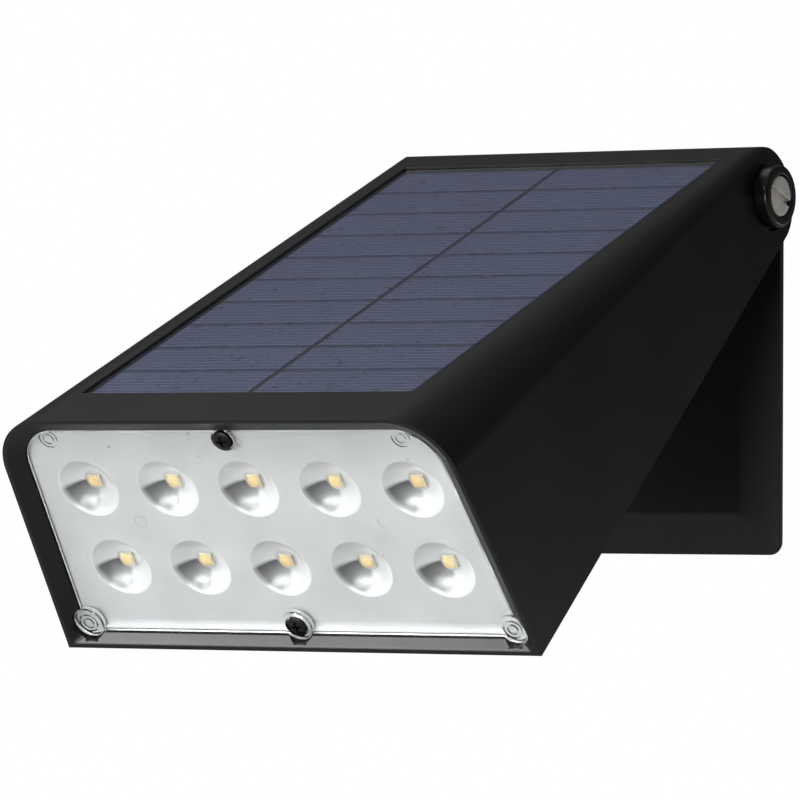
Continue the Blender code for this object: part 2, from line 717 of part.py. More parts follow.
def screw(name, axis, centre, top, head_radius, head_depth, shank, length, direction):
    """A pan-head screw: its head's face at `top`, its shank running in `direction` along the axis."""
    under = top + direction * head_depth
    profile = [(0, top), (head_radius * 0.72, top), (head_radius, top + direction * head_depth * 0.45),
               (head_radius, under), (shank, under), (shank, top + direction * (length - shank)),
               (0, top + direction * length)]
    made = turned(name, axis, profile, centre, 10)
    arm, half, depth = head_radius * 0.5, head_radius * 0.13, head_depth * 0.55
    ends = sorted((top - direction, top + direction * depth))
    for a, b in ((arm, half), (half, arm)):
        outline = [(centre[0] - a, centre[1] - b), (centre[0] + a, centre[1] - b),
                   (centre[0] + a, centre[1] + b), (centre[0] - a, centre[1] + b)]
        made = cut(made, prism("recess", axis, outline, *ends))
    return made


def lens_screw(name, down, front):
    made = screw(name, "y", (0, -down), LENS_FACE - 0.9, LENS_SCREW_HEAD, 1.6, 1.4, 14.5, 1)
    return placed(made, "black_steel", front)


# ---- Underside cover and its fittings, in UNDER -------------------------------------------------

def bottom_cover(under):
    """Tapered cover plate with screw pillars, two pillars for the control board and the button hole."""
    start, end, inset = POCKET_START + GAP, POCKET_END - GAP, WALL + GAP
    cover = loft("bottom_cover", "z", (under_outline(start, end, 0, inset), 0),
                 (under_outline(start, end, COVER_SHEET, inset), COVER_SHEET))
    foot = COVER_SHEET - 0.6
    places = cover_screw_places()
    pillars = [rod("pillar", "z", COLUMN, foot, POCKET_DEPTH - GAP, at, 10) for at in places]
    pillars += [rod("pillar", "z", PILLAR, foot, CONTROL_UP - GAP, at, 12) for at in BOARD_SCREWS]
    cover = join(cover, gathered("pillars", pillars))
    counterbore = [(0, -1), (3.1, -1), (3.1, 1.4), (1.6, 1.4), (1.6, 6), (0, 6)]
    drills = [turned("drill", "z", counterbore, at, 12) for at in places]
    drills += [rod("drill", "z", 1.2, 3, 12, at, 12) for at in BOARD_SCREWS]
    drills += [rod("drill", "z", 1.3, 0.8, 5, at, 12) for at in holder_screw_places()]
    drills.append(rod("drill", "z", BUTTON_RADIUS + GAP, -1, 4, BUTTON_AT, 20))
    return placed(cut(cover, gathered("drills", drills)), "black_shell", under)


def cover_seal(under):
    """Flat rubber frame squeezed between the cover and the ledge of its pocket."""
    outer = under_outline(POCKET_START + GAP, POCKET_END - GAP, SEAL_LOW, WALL + GAP + 0.1)
    inner = under_outline(POCKET_START + LEDGE, POCKET_END - LEDGE, SEAL_LOW, WALL + LEDGE)
    ring = prism("cover_seal", "z", outer, SEAL_LOW, SEAL_HIGH)
    window = prism("window", "z", inner, SEAL_LOW - 1, SEAL_HIGH + 1)
    return placed(cut(ring, window), "rubber", under, smooth=False)


def cover_screw(name, centre, under):
    return placed(screw(name, "z", centre, 0.1, 2.8, 1.1, 1.2, 11, 1), "steel", under)


def mode_button(under_pivot):
    """Rubber push button: a domed cap through the cover and a flange behind it."""
    profile = [(0, -0.9), (BUTTON_RADIUS - 1.2, -0.8), (BUTTON_RADIUS, 0), (BUTTON_RADIUS, 2.5), (5.6, 2.5),
               (5.6, 3.3), (1.5, 3.3), (1.5, 4.4), (0, 4.4)]
    return placed(turned("mode_button", "z", profile, (0.0, 0.0), 14), "rubber", under_pivot)


def mode_switch(under):
    """Small square push switch on the underside of the control board."""
    x, y = BUTTON_AT
    low, half = 6.6, 3.0
    body = box("mode_switch", (x - half, y - half, low), (x + half, y + half, CONTROL_UP - GAP))
    tip = rod("tip", "z", 1.6, 5.9, low + 0.5, BUTTON_AT, 12)
    return placed(join(body, tip), "black_steel", under)


def control_board(under):
    """Board with its main chip, a coil and a capacitor, drilled for two screws."""
    top = CONTROL_UP + CONTROL_THICK
    board = box("control_board", (-CONTROL_HALF, CONTROL_START, CONTROL_UP), (CONTROL_HALF, CONTROL_END, top))
    parts = [box("chip", (-5, 106, top - 0.5), (5, 116, top + 1.6)),
             rod("coil", "z", 3.4, top - 0.5, top + 5.5, (9.5, 108.0), 12),
             rod("capacitor", "z", 2.6, top - 0.5, top + 7.5, (-12.0, 108.0), 12)]
    holes = [rod("hole", "z", 1.5, 0, 20, at, 12) for at in BOARD_SCREWS]
    return placed(cut(join(board, *parts), *holes), "board_green", under)


def board_screw(name, centre, under):
    top = CONTROL_UP + CONTROL_THICK + GAP + 1.1
    return placed(screw(name, "z", centre, top, 2.2, 1.1, 0.9, 7, -1), "steel", under)


def battery_cell(name, row, under):
    """A cylindrical cell with its raised contact at one end."""
    end, radius, edge = BATTERY_LENGTH / 2, BATTERY_RADIUS, 0.6
    profile = [(0, -end), (radius - edge, -end), (radius, -end + edge), (radius, end - edge),
               (radius - edge, end), (2.8, end), (2.8, end + 1.2), (0, end + 1.2)]
    return placed(turned(name, "x", profile, (row, BATTERY_UP), 16), "battery_wrap", under)


def holder_screw_places():
    return [(side * HOLDER_SCREW_X, HOLDER_MIDDLE) for side in (1, -1)]


def battery_holder(under):
    """Tray with end walls and a screw lug on each side."""
    low, floor = 2.6, BATTERY_UP - BATTERY_RADIUS - GAP
    start, end = BATTERY_ROWS[0] - 11, BATTERY_ROWS[1] + 11
    half = BATTERY_LENGTH / 2 + 4
    tray = box("battery_holder", (-half, start, low), (half, end, BATTERY_UP + 2))
    hollow = box("hollow", (-half + 1.8, start + 1.4, floor - 0.1), (half - 1.8, end - 1.4, 30))
    lugs = []
    for side in (1, -1):
        inner, outer = sorted((side * (half - 1), side * (half + 7)))
        lugs.append(box("lug", (inner, HOLDER_MIDDLE - 4, low), (outer, HOLDER_MIDDLE + 4, low + 1.8)))
    holes = [rod("hole", "z", 1.6, 0, 20, at, 12) for at in holder_screw_places()]
    return placed(cut(join(cut(tray, hollow), *lugs), *holes), "nylon", under, smooth=False)


def holder_screw(name, centre, under):
    return placed(screw(name, "z", centre, 5.8, 2.4, 1.2, 1.0, 4.8, -1), "steel", under)


def wire(name, points, look_name, under):
    """An insulated lead as a smooth tube through a few points of the UNDER frame."""
    curve = bpy.data.curves.new(name, "CURVE")
    curve.dimensions = "3D"
    curve.bevel_depth = WIRE * MM
    curve.bevel_resolution = 0
    curve.resolution_u = 4
    curve.render_resolution_u = 0
    curve.use_fill_caps = True
    line = curve.splines.new("NURBS")
    line.points.add(len(points) - 1)
    for spot, (x, y, z) in zip(line.points, points):
        spot.co = (x * MM, y * MM, z * MM, 1)
    line.use_endpoint_u = True
    line.order_u = 3
    made = bpy.data.objects.new(name, curve)
    bpy.context.scene.collection.objects.link(made)
    curve.materials.append(look(look_name))
    made.parent = under
    return made


def leads(under):
    """Three pairs of leads: solar panel, LED board and battery, all ending on the control board."""
    landing = CONTROL_UP + CONTROL_THICK + 1.0
    panel_back = TOP - BACK_DOWN - BACK_THICK - 0.9
    panel = UNDER.inverted() @ Vector((*PANEL_LEAD_AT, panel_back))
    led = UNDER.inverted() @ FRONT @ Vector((0, BOARD_FACE + BOARD_THICK + 1.0, -LED_LEAD_DOWN))
    for colour, side in (("red", 1), ("black", -1)):
        look_name = "wire_" + colour
        x = PANEL_LEAD_AT[0] + side * 1.1
        route = [(x, panel.y, panel.z), (x, panel.y - 2, panel.z - 9), (x - 4, 126, 26),
                 (x - 3, 124, 17), (x - 3, 124, landing)]
        wire(f"panel_lead_{colour}", route, look_name, under)
        x = side * 1.3
        route = [(x, led.y, led.z), (x, led.y + 12, led.z - 1), (x * 3, 52, 35), (x * 3, 90, 32),
                 (x * 2 - 5, 100.5, 24), (x * 2 - 5, 100.5, landing)]
        wire(f"led_lead_{colour}", route, look_name, under)
        x = side * 2.0
        route = [(x + 8, 78.0, 12), (x + 8, 86, 12), (x + 10, 97, 20), (x + 10, 99.5, 18),
                 (x + 10, 99.5, landing)]
        wire(f"battery_lead_{colour}", route, look_name, under)


# ---- Tilt pivot hardware, round the tilt axis ------------------------------------------------------

def pivot_collar(head):
    """Black ring on the side wall's flat seat, counterbored for the screw's head."""
    edge = 0.8
    profile = [(COLLAR_RADIUS, COLLAR_IN), (COLLAR_RADIUS, COLLAR_OUT - edge),
               (COLLAR_RADIUS - edge, COLLAR_OUT), (HEAD_RADIUS + GAP, COLLAR_OUT),
               (HEAD_RADIUS + GAP, HEAD_SEAT), (SHANK_HOLE, HEAD_SEAT), (SHANK_HOLE, COLLAR_IN)]
    return placed(turned("pivot_collar_right", "x", profile, (0.0, 0.0), 32), "black_gloss", head)


def pivot_screw(axle):
    """Large slotted screw that clamps the tilt: coin slot, head, shank and chamfered tip."""
    under, tip, edge = HEAD_SEAT + GAP, NUT_IN - 1.5, 0.5
    profile = [(0, HEAD_FACE), (HEAD_RADIUS - edge, HEAD_FACE), (HEAD_RADIUS, HEAD_FACE - edge),
               (HEAD_RADIUS, under), (SHANK, under), (SHANK, tip + edge), (SHANK - edge, tip), (0, tip)]
    made = turned("pivot_screw_right", "x", profile, (0.0, 0.0), 24)
    reach = HEAD_RADIUS + 3
    slot = box("slot", (HEAD_FACE - SLOT_DEPTH, -reach, -SLOT_HALF), (HEAD_FACE + 2, reach, SLOT_HALF))
    slot.data.transform(Matrix.Rotation(SLOT_ANGLE, 4, "X"))
    return placed(cut(made, slot), "steel", axle)


def pivot_pin(axle):
    """Plain dowel pin that the head turns on at the left, hidden inside the shell."""
    start, end, edge = -REAR_BAY_HALF - GAP, -PIN_END, 0.5
    profile = [(0, start), (PIN - edge, start), (PIN, start - edge), (PIN, end + edge), (PIN - edge, end),
               (0, end)]
    return placed(turned("pivot_pin_left", "x", profile, (0.0, 0.0), 16), "steel", axle)


def friction_washer(name, side, axle):
    low, high = side * (ARM_OUT + 0.2), side * WASHER_OUT
    profile = [(ARM_RADIUS, low), (ARM_RADIUS, high), (SHANK_HOLE, high), (SHANK_HOLE, low)]
    return placed(turned(name, "x", profile, (0.0, 0.0), 16), "nylon", axle)


def pivot_nut(axle):
    """Hexagon nut held in the right arm's pocket."""
    nut = prism("pivot_nut_right", "x", hexagon(NUT_FLATS, (0, 0)), NUT_IN, NUT_OUT)
    bore = rod("bore", "x", SHANK + 0.1, NUT_IN - 1, NUT_OUT + 1, (0.0, 0.0), 18)
    return placed(cut(nut, bore), "steel", axle, smooth=False)


# ---- Assembly --------------------------------------------------------------------------------------

def scaled_place(frame):
    """A local frame's matrix with its offset in metres."""
    place = frame.copy()
    place.translation *= MM
    return place


def pivots(head, axle):
    """The clamp on the right, the hidden pin on the left and a friction washer on each side."""
    pivot_collar(head)
    pivot_screw(axle)
    pivot_nut(axle)
    pivot_pin(axle)
    for word, side in (("left", -1), ("right", 1)):
        friction_washer(f"friction_washer_{word}", side, axle)


def panel(head):
    panel_sheet("panel_cover", COVER_DOWN, COVER_THICK, "solar_glass", head)
    panel_sheet("panel_back_board", BACK_DOWN, BACK_THICK, "panel_back", head)
    panel_tape(head)
    for word, side in (("left", -1), ("right", 1)):
        cell_string(f"cell_string_{word}", side, head)


def light_unit(front):
    lens_cover(front)
    lens_gasket(front)
    reflector(front)
    led_board(front)
    for number, centre in enumerate(led_places(), 1):
        led_chip(number, centre, front)
    for word, down in zip(("top", "bottom"), LENS_SCREWS):
        lens_screw(f"lens_screw_{word}", down, front)


def underside(under):
    bottom_cover(under)
    cover_seal(under)
    for number, centre in enumerate(cover_screw_places(), 1):
        cover_screw(f"cover_screw_{number}", centre, under)
    mode_button(empty("button_frame", under, Matrix.Translation(Vector((*BUTTON_AT, 0)) * MM)))
    mode_switch(under)
    control_board(under)
    for number, centre in enumerate(BOARD_SCREWS, 1):
        board_screw(f"board_screw_{number}", centre, under)
    for number, row in enumerate(BATTERY_ROWS, 1):
        battery_cell(f"battery_cell_{number}", row, under)
    battery_holder(under)
    for word, centre in zip(("right", "left"), holder_screw_places()):
        holder_screw(f"holder_screw_{word}", centre, under)
    leads(under)


def build():
    for obj in list(bpy.data.objects):
        bpy.data.objects.remove(obj)
    wall_bracket()
    axle = empty("tilt_axis", None, Matrix.Translation(Vector((0, -AXIS_OUT, AXIS_UP)) * MM))
    head = empty("head_frame", axle, Matrix.Rotation(REST_TILT, 4, "X"))
    lamp_housing(head)
    pivots(head, axle)
    panel(head)
    light_unit(empty("front_frame", head, scaled_place(FRONT)))
    underside(empty("under_frame", head, scaled_place(UNDER)))


build()
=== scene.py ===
"""Looks of the solar flood light: fine surfaces, materials, floor, light and camera.

World frame as in the frame: origin on the wall, -Y out towards the front, +Z up, metres.
Meshes are written in millimetres in three local frames that hang on the tilt axis:
  HEAD   origin on the tilt axis, +Y to the rear along the top face, +Z out of the top face
  FRONT  origin at the middle of the front's top edge, +Y into the head, -Z down the front face
  UNDER  origin at the middle of the front's bottom edge, +Y to the rear, +Z inwards
"""
import json
from math import asin, atan2, cos, hypot, pi, radians, sin, tan

import bmesh
import bpy
from mathutils import Matrix, Vector


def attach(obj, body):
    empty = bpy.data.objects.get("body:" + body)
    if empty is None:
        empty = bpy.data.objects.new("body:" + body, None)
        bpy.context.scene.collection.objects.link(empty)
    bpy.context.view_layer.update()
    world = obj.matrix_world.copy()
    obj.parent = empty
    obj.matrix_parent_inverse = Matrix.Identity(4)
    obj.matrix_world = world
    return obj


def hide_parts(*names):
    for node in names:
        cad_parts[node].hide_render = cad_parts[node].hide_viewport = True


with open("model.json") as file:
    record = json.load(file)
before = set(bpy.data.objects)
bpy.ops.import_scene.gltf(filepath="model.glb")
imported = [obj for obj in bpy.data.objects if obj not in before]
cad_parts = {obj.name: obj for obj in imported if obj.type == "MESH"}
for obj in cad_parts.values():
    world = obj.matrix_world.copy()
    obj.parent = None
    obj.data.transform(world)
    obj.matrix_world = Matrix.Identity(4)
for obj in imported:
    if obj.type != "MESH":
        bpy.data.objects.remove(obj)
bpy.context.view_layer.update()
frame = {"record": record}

MM = 0.001
FAR = 120.0              # beyond every face of the head
WELD = 0.0003            # points closer than this are one

# Shape of the head, the same as the CAD's
TILT = radians(22.5)
TOP = REAR_RADIUS = 14.0
REACH = 204.0
HEIGHT = 76.7
LEAN = radians(14.4)
TOP_HALF = 69.7
TAPER = 0.049
FLARE = radians(4.76)
EDGE_RADIUS = 17.5
EDGE_RADIUS_REAR = 3.6
WALL = 2.0
GAP = 0.3
RIM, BEZEL, BEZEL_FOOT = 1.6, 5.4, 3.3
LENS_FACE, LENS_THICK = 3.0, 2.0
TRAY_FACE = 5.4
WELL_FLOOR = 15.6
LOBE = 4.6
LENS_SCREWS = (9.0, 70.2)
LOWER_BOSS = (67.2, 70.15)
UPPER_BOSS = (55.3, 8.4)
PANEL_HALF, PANEL_START, PANEL_END = 51.5, 20.1, 196.1

joints = {joint["name"]: joint for joint in frame["record"]["behaviour"]["joints"]}
AXIS = Vector(joints["lamp_tilt"]["pos_m"])

FOOT_Y = -REACH + HEIGHT * sin(LEAN)
FOOT_Z = TOP - HEIGHT * cos(LEAN)
UNDER_ANGLE = atan2(-FOOT_Z, -FOOT_Y) - asin(REAR_RADIUS / hypot(FOOT_Y, FOOT_Z))
AXLE = Matrix.Translation(AXIS / MM)
HEAD = AXLE @ Matrix.Rotation(TILT, 4, "X")
FRONT_IN_HEAD = Matrix.Translation((0, -REACH, TOP)) @ Matrix.Rotation(LEAN, 4, "X")
UNDER_IN_HEAD = Matrix.Translation((0, FOOT_Y, FOOT_Z)) @ Matrix.Rotation(UNDER_ANGLE, 4, "X")
FRONT = HEAD @ FRONT_IN_HEAD
UNDER = HEAD @ UNDER_IN_HEAD
WORLD = Matrix.Identity(4)


# ---- Solids, in millimetres ------------------------------------------------------------------

def finished(name, edit):
    bmesh.ops.remove_doubles(edit, verts=edit.verts, dist=WELD)
    bmesh.ops.dissolve_degenerate(edit, edges=edit.edges, dist=WELD)
    bmesh.ops.recalc_face_normals(edit, faces=edit.faces)
    mesh = bpy.data.meshes.new(name)
    edit.to_mesh(mesh)
    edit.free()
    made = bpy.data.objects.new(name, mesh)
    bpy.context.scene.collection.objects.link(made)
    return made


ALONG = {"x": lambda a, b, t: (t, a, b), "y": lambda a, b, t: (a, t, b), "z": lambda a, b, t: (a, b, t)}


def loft(name, axis, *layers):
    """A solid through outlines of equally many points: each layer is (outline, place along the axis)."""
    edit = bmesh.new()
    point = ALONG[axis]
    rings = [[edit.verts.new(point(a, b, at)) for a, b in outline] for outline, at in layers]
    edit.faces.new(rings[0])
    edit.faces.new(rings[-1])
    for lower, upper in zip(rings, rings[1:]):
        for i in range(len(lower)):
            j = (i + 1) % len(lower)
            edit.faces.new((lower[i], lower[j], upper[j], upper[i]))
    return finished(name, edit)


def prism(name, axis, outline, low, high):
    return loft(name, axis, (outline, low), (outline, high))


def box(name, low, high):
    outline = [(low[0], low[1]), (high[0], low[1]), (high[0], high[1]), (low[0], high[1])]
    return prism(name, "z", outline, low[2], high[2])


def turned(name, axis, profile, centre=(0.0, 0.0), steps=64):
    """A solid turned from a closed profile of (radius, distance along the axis) points."""
    edit = bmesh.new()
    point = ALONG[axis]
    rings = []
    for radius, along in profile:
        count = steps if radius > 0 else 1
        rings.append([edit.verts.new(point(centre[0] + radius * cos(2 * pi * i / count),
                                           centre[1] + radius * sin(2 * pi * i / count), along))
                      for i in range(count)])
    for first, second in zip(rings, rings[1:] + rings[:1]):
        if len(first) == 1 and len(second) == 1:
            continue
        for i in range(steps):
            j = (i + 1) % steps
            corners = [first[i % len(first)], first[j % len(first)],
                       second[j % len(second)], second[i % len(second)]]
            edit.faces.new(dict.fromkeys(corners))
    return finished(name, edit)


def rod(name, axis, radius, low, high, centre=(0.0, 0.0), steps=48):
    return turned(name, axis, [(0, low), (radius, low), (radius, high), (0, high)], centre, steps)


def boolean(operation, target, *tools):
    """Cuts or joins the tools into the target and removes them."""
    for tool in tools:
        change = target.modifiers.new(operation.lower(), "BOOLEAN")
        change.operation = operation
        change.solver = "EXACT"
        change.object = tool
        edit = bmesh.new()
        edit.from_object(target, bpy.context.evaluated_depsgraph_get())
        bmesh.ops.remove_doubles(edit, verts=edit.verts, dist=WELD)
        bmesh.ops.dissolve_degenerate(edit, edges=edit.edges, dist=WELD)
        target.modifiers.clear()
        edit.to_mesh(target.data)
        edit.free()
        bpy.data.objects.remove(tool)
    return target


def cut(target, *tools):
    return boolean("DIFFERENCE", target, *tools)


def join(target, *tools):
    return boolean("UNION", target, *tools)


def keep_inside(target, *tools):
    return boolean("INTERSECT", target, *tools)


def shifted(made, matrix):
    made.data.transform(matrix)
    return made


def rounded(made, width, segments=3, angle=30):
    """Rounds the sharp edges of a clean solid."""
    change = made.modifiers.new("round", "BEVEL")
    change.width = width
    change.segments = segments
    change.limit_method = "ANGLE"
    change.angle_limit = radians(angle)
    change.use_clamp_overlap = True
    edit = bmesh.new()
    edit.from_object(made, bpy.context.evaluated_depsgraph_get())
    made.modifiers.clear()
    edit.to_mesh(made.data)
    edit.free()
    return made


def gathered(name, pieces):
    """Separate solids put side by side in one mesh."""
    edit = bmesh.new()
    for piece in pieces:
        edit.from_mesh(piece.data)
        bpy.data.objects.remove(piece)
    return finished(name, edit)


def show(made, name, matrix, body, material, *nodes, sharp=32):
    """Names a finished solid, brings it to metres in the world and hands it to the frame."""
    made.name = name
    made.data.name = name
    made.data.transform(Matrix.Scale(MM, 4) @ matrix)
    made.data.materials.clear()
    made.data.materials.append(material)
    made.data.shade_smooth()
    made.data.set_sharp_from_angle(angle=radians(sharp))
    flats = made.modifiers.new("flat_faces_rule", "WEIGHTED_NORMAL")
    flats.keep_sharp = True
    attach(made, body)
    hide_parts(*nodes)
    return made


# ---- Outlines --------------------------------------------------------------------------------

def arc(centre, radius, start, end, steps=24):
    angles = [start + (end - start) * i / steps for i in range(steps + 1)]
    return [(centre[0] + radius * cos(t), centre[1] + radius * sin(t)) for t in angles]


def both_sides(right):
    return right + [(-x, z) for x, z in reversed(right)]


def top_half(y):
    return TOP_HALF - TAPER * (y + REACH)


def side_half(y, z):
    return top_half(y) + (TOP - z) * tan(FLARE)


def edge_point(y, turn, inset):
    radius = EDGE_RADIUS_REAR + (EDGE_RADIUS_REAR - EDGE_RADIUS) * y / REACH
    middle = top_half(y) - radius * tan((pi / 2 - FLARE) / 2)
    return middle + (radius - inset) * cos(turn), TOP - radius + (radius - inset) * sin(turn)


ARC_STEPS = 24
TURNS = [pi / 2 + (FLARE - pi / 2) * i / ARC_STEPS for i in range(ARC_STEPS + 1)]


def section(y, inset, bottom):
    right = [edge_point(y, turn, inset) for turn in TURNS]
    return both_sides(right + [(side_half(y, bottom) - inset / cos(FLARE), bottom)])


def front_outline(inset, foot, corner=0.0):
    """Cross-section on the leaning front face, (x, -down), with rounded lower corners."""
    right = []
    for turn in TURNS:
        y = -REACH
        for _ in range(3):
            x, z = edge_point(y, turn, inset)
            y = -REACH + (TOP - z) * tan(LEAN)
        right.append((x, (z - TOP) / cos(LEAN)))
    y, z = -REACH + foot * sin(LEAN), TOP - foot * cos(LEAN)
    x = side_half(y, z) - inset / cos(FLARE)
    if corner:
        right += arc((x - corner, -foot + corner), corner, FLARE, -pi / 2, 8)
    else:
        right.append((x, -foot))
    return both_sides(right)


def rear_outline(offset, roof, steps=48):
    radius = REAR_RADIUS - offset
    return arc((0, 0), radius, asin(min(1.0, roof / radius)), UNDER_ANGLE - pi / 2, steps)


def under_half(along, up, inset):
    place = UNDER_IN_HEAD @ Vector((0, along, up))
    return side_half(place.y, place.z) - inset


def under_outline(start, end, up, inset):
    wide, narrow = under_half(start, up, inset), under_half(end, up, inset)
    return [(-wide, start), (wide, start), (narrow, end), (-narrow, end)]


# ---- Materials -------------------------------------------------------------------------------

class Look:
    """A node material built round one Principled shader, patterned in object space."""

    def __init__(self, name, roughness=0.5, metallic=0.0, ior=1.45, gloss=0.5):
        self.material = bpy.data.materials.new(name)
        self.material.use_nodes = True
        self.tree = self.material.node_tree
        self.shader = self.tree.nodes["Principled BSDF"]
        self.shader.inputs["Roughness"].default_value = roughness
        self.shader.inputs["Metallic"].default_value = metallic
        self.shader.inputs["IOR"].default_value = ior
        self.shader.inputs["Specular IOR Level"].default_value = gloss
        self.place = self.node("ShaderNodeTexCoord").outputs["Object"]

    def node(self, kind, **values):
        made = self.tree.nodes.new(kind)
        for key, value in values.items():
            setattr(made, key, value)
        return made

    def link(self, source, target):
        self.tree.links.new(source, target)

    def grain(self, scale, detail=3.0, stretch=(1, 1, 1), roughness=0.55):
        """Fractal noise; scale counts cells per metre."""
        mapping = self.node("ShaderNodeMapping")
        mapping.inputs["Scale"].default_value = stretch
        self.link(self.place, mapping.inputs["Vector"])
        made = self.node("ShaderNodeTexNoise")
        made.inputs["Scale"].default_value = scale
        made.inputs["Detail"].default_value = detail
        made.inputs["Roughness"].default_value = roughness
        self.link(mapping.outputs["Vector"], made.inputs["Vector"])
        return made.outputs["Fac"]

    def ramp(self, source, *stops):
        made = self.node("ShaderNodeValToRGB")
        points = made.color_ramp.elements
        while len(points) < len(stops):
            points.new(0.5)
        for point, (at, value) in zip(points, stops):
            point.position = at
            colour = (value, value, value) if isinstance(value, (int, float)) else value
            point.color = (*colour, 1.0)
        self.link(source, made.inputs["Fac"])
        return made.outputs["Color"]

    def mix(self, factor, first, second):
        made = self.node("ShaderNodeMix", data_type="RGBA")
        for index, value in ((0, factor), (6, first), (7, second)):
            if isinstance(value, bpy.types.NodeSocket):
                self.link(value, made.inputs[index])
            else:
                made.inputs[index].default_value = value if index == 0 else (*value, 1.0)
        return made.outputs[2]

    def colour(self, source):
        self.link(source, self.shader.inputs["Base Color"])

    def rough(self, source, low, high):
        made = self.node("ShaderNodeMapRange")
        made.inputs["To Min"].default_value = low
        made.inputs["To Max"].default_value = high
        self.link(source, made.inputs["Value"])
        self.link(made.outputs["Result"], self.shader.inputs["Roughness"])

    def bump(self, source, depth_mm):
        made = self.node("ShaderNodeBump")
        made.inputs["Strength"].default_value = 1.0
        made.inputs["Distance"].default_value = depth_mm * MM
        self.link(source, made.inputs["Height"])
        self.link(made.outputs["Normal"], self.shader.inputs["Normal"])

    def lets_lamps_through(self, tint=(1, 1, 1)):
        """Shadow rays pass straight through, as they nearly do through thin clear plastic."""
        path = self.node("ShaderNodeLightPath")
        clear = self.node("ShaderNodeBsdfTransparent")
        clear.inputs["Color"].default_value = (*tint, 1.0)
        mixer = self.node("ShaderNodeMixShader")
        output = self.tree.nodes["Material Output"]
        self.link(path.outputs["Is Shadow Ray"], mixer.inputs[0])
        self.link(self.shader.outputs["BSDF"], mixer.inputs[1])
        self.link(clear.outputs["BSDF"], mixer.inputs[2])
        self.link(mixer.outputs["Shader"], output.inputs["Surface"])


def plastic(name, dark, light, rough, fine_bump=0.02, scale=900.0, gloss=0.5):
    """Moulded plastic: faint mottling, fine spark texture, slightly uneven sheen."""
    look = Look(name, gloss=gloss)
    broad = look.grain(35.0, 4.0)
    fine = look.grain(scale, 2.0)
    base = look.ramp(broad, (0.3, dark), (0.7, light))
    dust = look.ramp(look.grain(260.0, 6.0, roughness=0.75), (0.66, 0.0), (0.82, 1.0))
    pale = tuple(min(1.0, 1.5 * value + 0.004) for value in light)
    factor = look.node("ShaderNodeMath", operation="MULTIPLY")
    look.link(dust, factor.inputs[0])
    factor.inputs[1].default_value = 0.18
    look.colour(look.mix(factor.outputs[0], base, pale))
    look.rough(broad, *rough)
    look.bump(fine, fine_bump)
    return look.material


def metal(name, dark, light, rough, stretch=(1, 1, 1), metallic=1.0):
    """Machined metal with fine directional grain and small stains."""
    look = Look(name, metallic=metallic)
    lines = look.grain(420.0, 4.0, stretch)
    stain = look.grain(160.0, 3.0)
    look.colour(look.mix(look.ramp(stain, (0.35, 0.0), (0.75, 1.0)), light, dark))
    look.rough(lines, *rough)
    look.bump(lines, 0.006)
    return look.material


def clear(name, tint, rough, speckle, ior):
    """Clear sheet with slight haze and handling marks."""
    look = Look(name, ior=ior)
    look.shader.inputs["Transmission Weight"].default_value = 1.0
    haze = look.grain(70.0, 5.0, roughness=0.7)
    look.colour(look.ramp(haze, (0.2, tint), (0.9, tuple(min(1.0, value * 1.03) for value in tint))))
    look.rough(haze, *rough)
    look.bump(look.grain(speckle, 2.0), 0.004)
    look.lets_lamps_through((0.9, 0.91, 0.91))
    return look.material


def silicon():
    """Dark blue-grey cells with fine pale finger lines and a dark gap between one row and the next."""
    look = Look("solar_cell_look", gloss=0.25)
    row_pitch = (PANEL_END - PANEL_START - 2.0) / 10
    turned_back = look.node("ShaderNodeMapping", vector_type="POINT")
    offset = HEAD.inverted()
    turned_back.inputs["Location"].default_value = offset.translation * MM
    turned_back.inputs["Rotation"].default_value = offset.to_euler()
    look.link(look.place, turned_back.inputs["Vector"])
    split = look.node("ShaderNodeSeparateXYZ")
    look.link(turned_back.outputs["Vector"], split.inputs["Vector"])

    def lines(spacing_mm, width_share):
        shift = look.node("ShaderNodeMath", operation="ADD")
        look.link(split.outputs["Y"], shift.inputs[0])
        shift.inputs[1].default_value = (REACH - PANEL_START) * MM
        scaled = look.node("ShaderNodeMath", operation="DIVIDE")
        look.link(shift.outputs[0], scaled.inputs[0])
        scaled.inputs[1].default_value = spacing_mm * MM
        part = look.node("ShaderNodeMath", operation="FRACT")
        look.link(scaled.outputs[0], part.inputs[0])
        line = look.node("ShaderNodeMath", operation="LESS_THAN")
        look.link(part.outputs[0], line.inputs[0])
        line.inputs[1].default_value = width_share
        return line.outputs[0]

    fingers = lines(row_pitch / 8, 0.16)
    crystals = look.grain(420.0, 2.0)
    slow = look.grain(18.0, 2.0)
    base = look.mix(look.ramp(crystals, (0.35, 0.0), (0.65, 1.0)), (0.018, 0.023, 0.064),
                    (0.030, 0.037, 0.090))
    base = look.mix(look.ramp(slow, (0.3, 0.0), (0.8, 0.5)), base, (0.040, 0.050, 0.110))
    base = look.mix(fingers, base, (0.18, 0.205, 0.30))
    row_gaps = lines(row_pitch, 0.05)
    look.colour(look.mix(row_gaps, base, (0.012, 0.013, 0.011)))
    look.rough(crystals, 0.22, 0.38)
    look.bump(crystals, 0.01)
    return look.material


def silvered(name, dark, light, rough, metallic, shade=None):
    """Silvery moulding; the named mark on its points paints shade into its colour."""
    look = Look(name, metallic=metallic)
    broad = look.grain(45.0, 3.0)
    base = look.ramp(broad, (0.3, dark), (0.7, light))
    if shade:
        mark = look.node("ShaderNodeAttribute", attribute_name=shade).outputs["Fac"]
        # painted shade: the marked points turn near black
        base = look.mix(mark, base, (0.07, 0.07, 0.072))
    look.colour(base)
    look.rough(look.grain(220.0, 3.0), *rough)
    look.bump(look.grain(600.0, 2.0), 0.006)
    return look.material


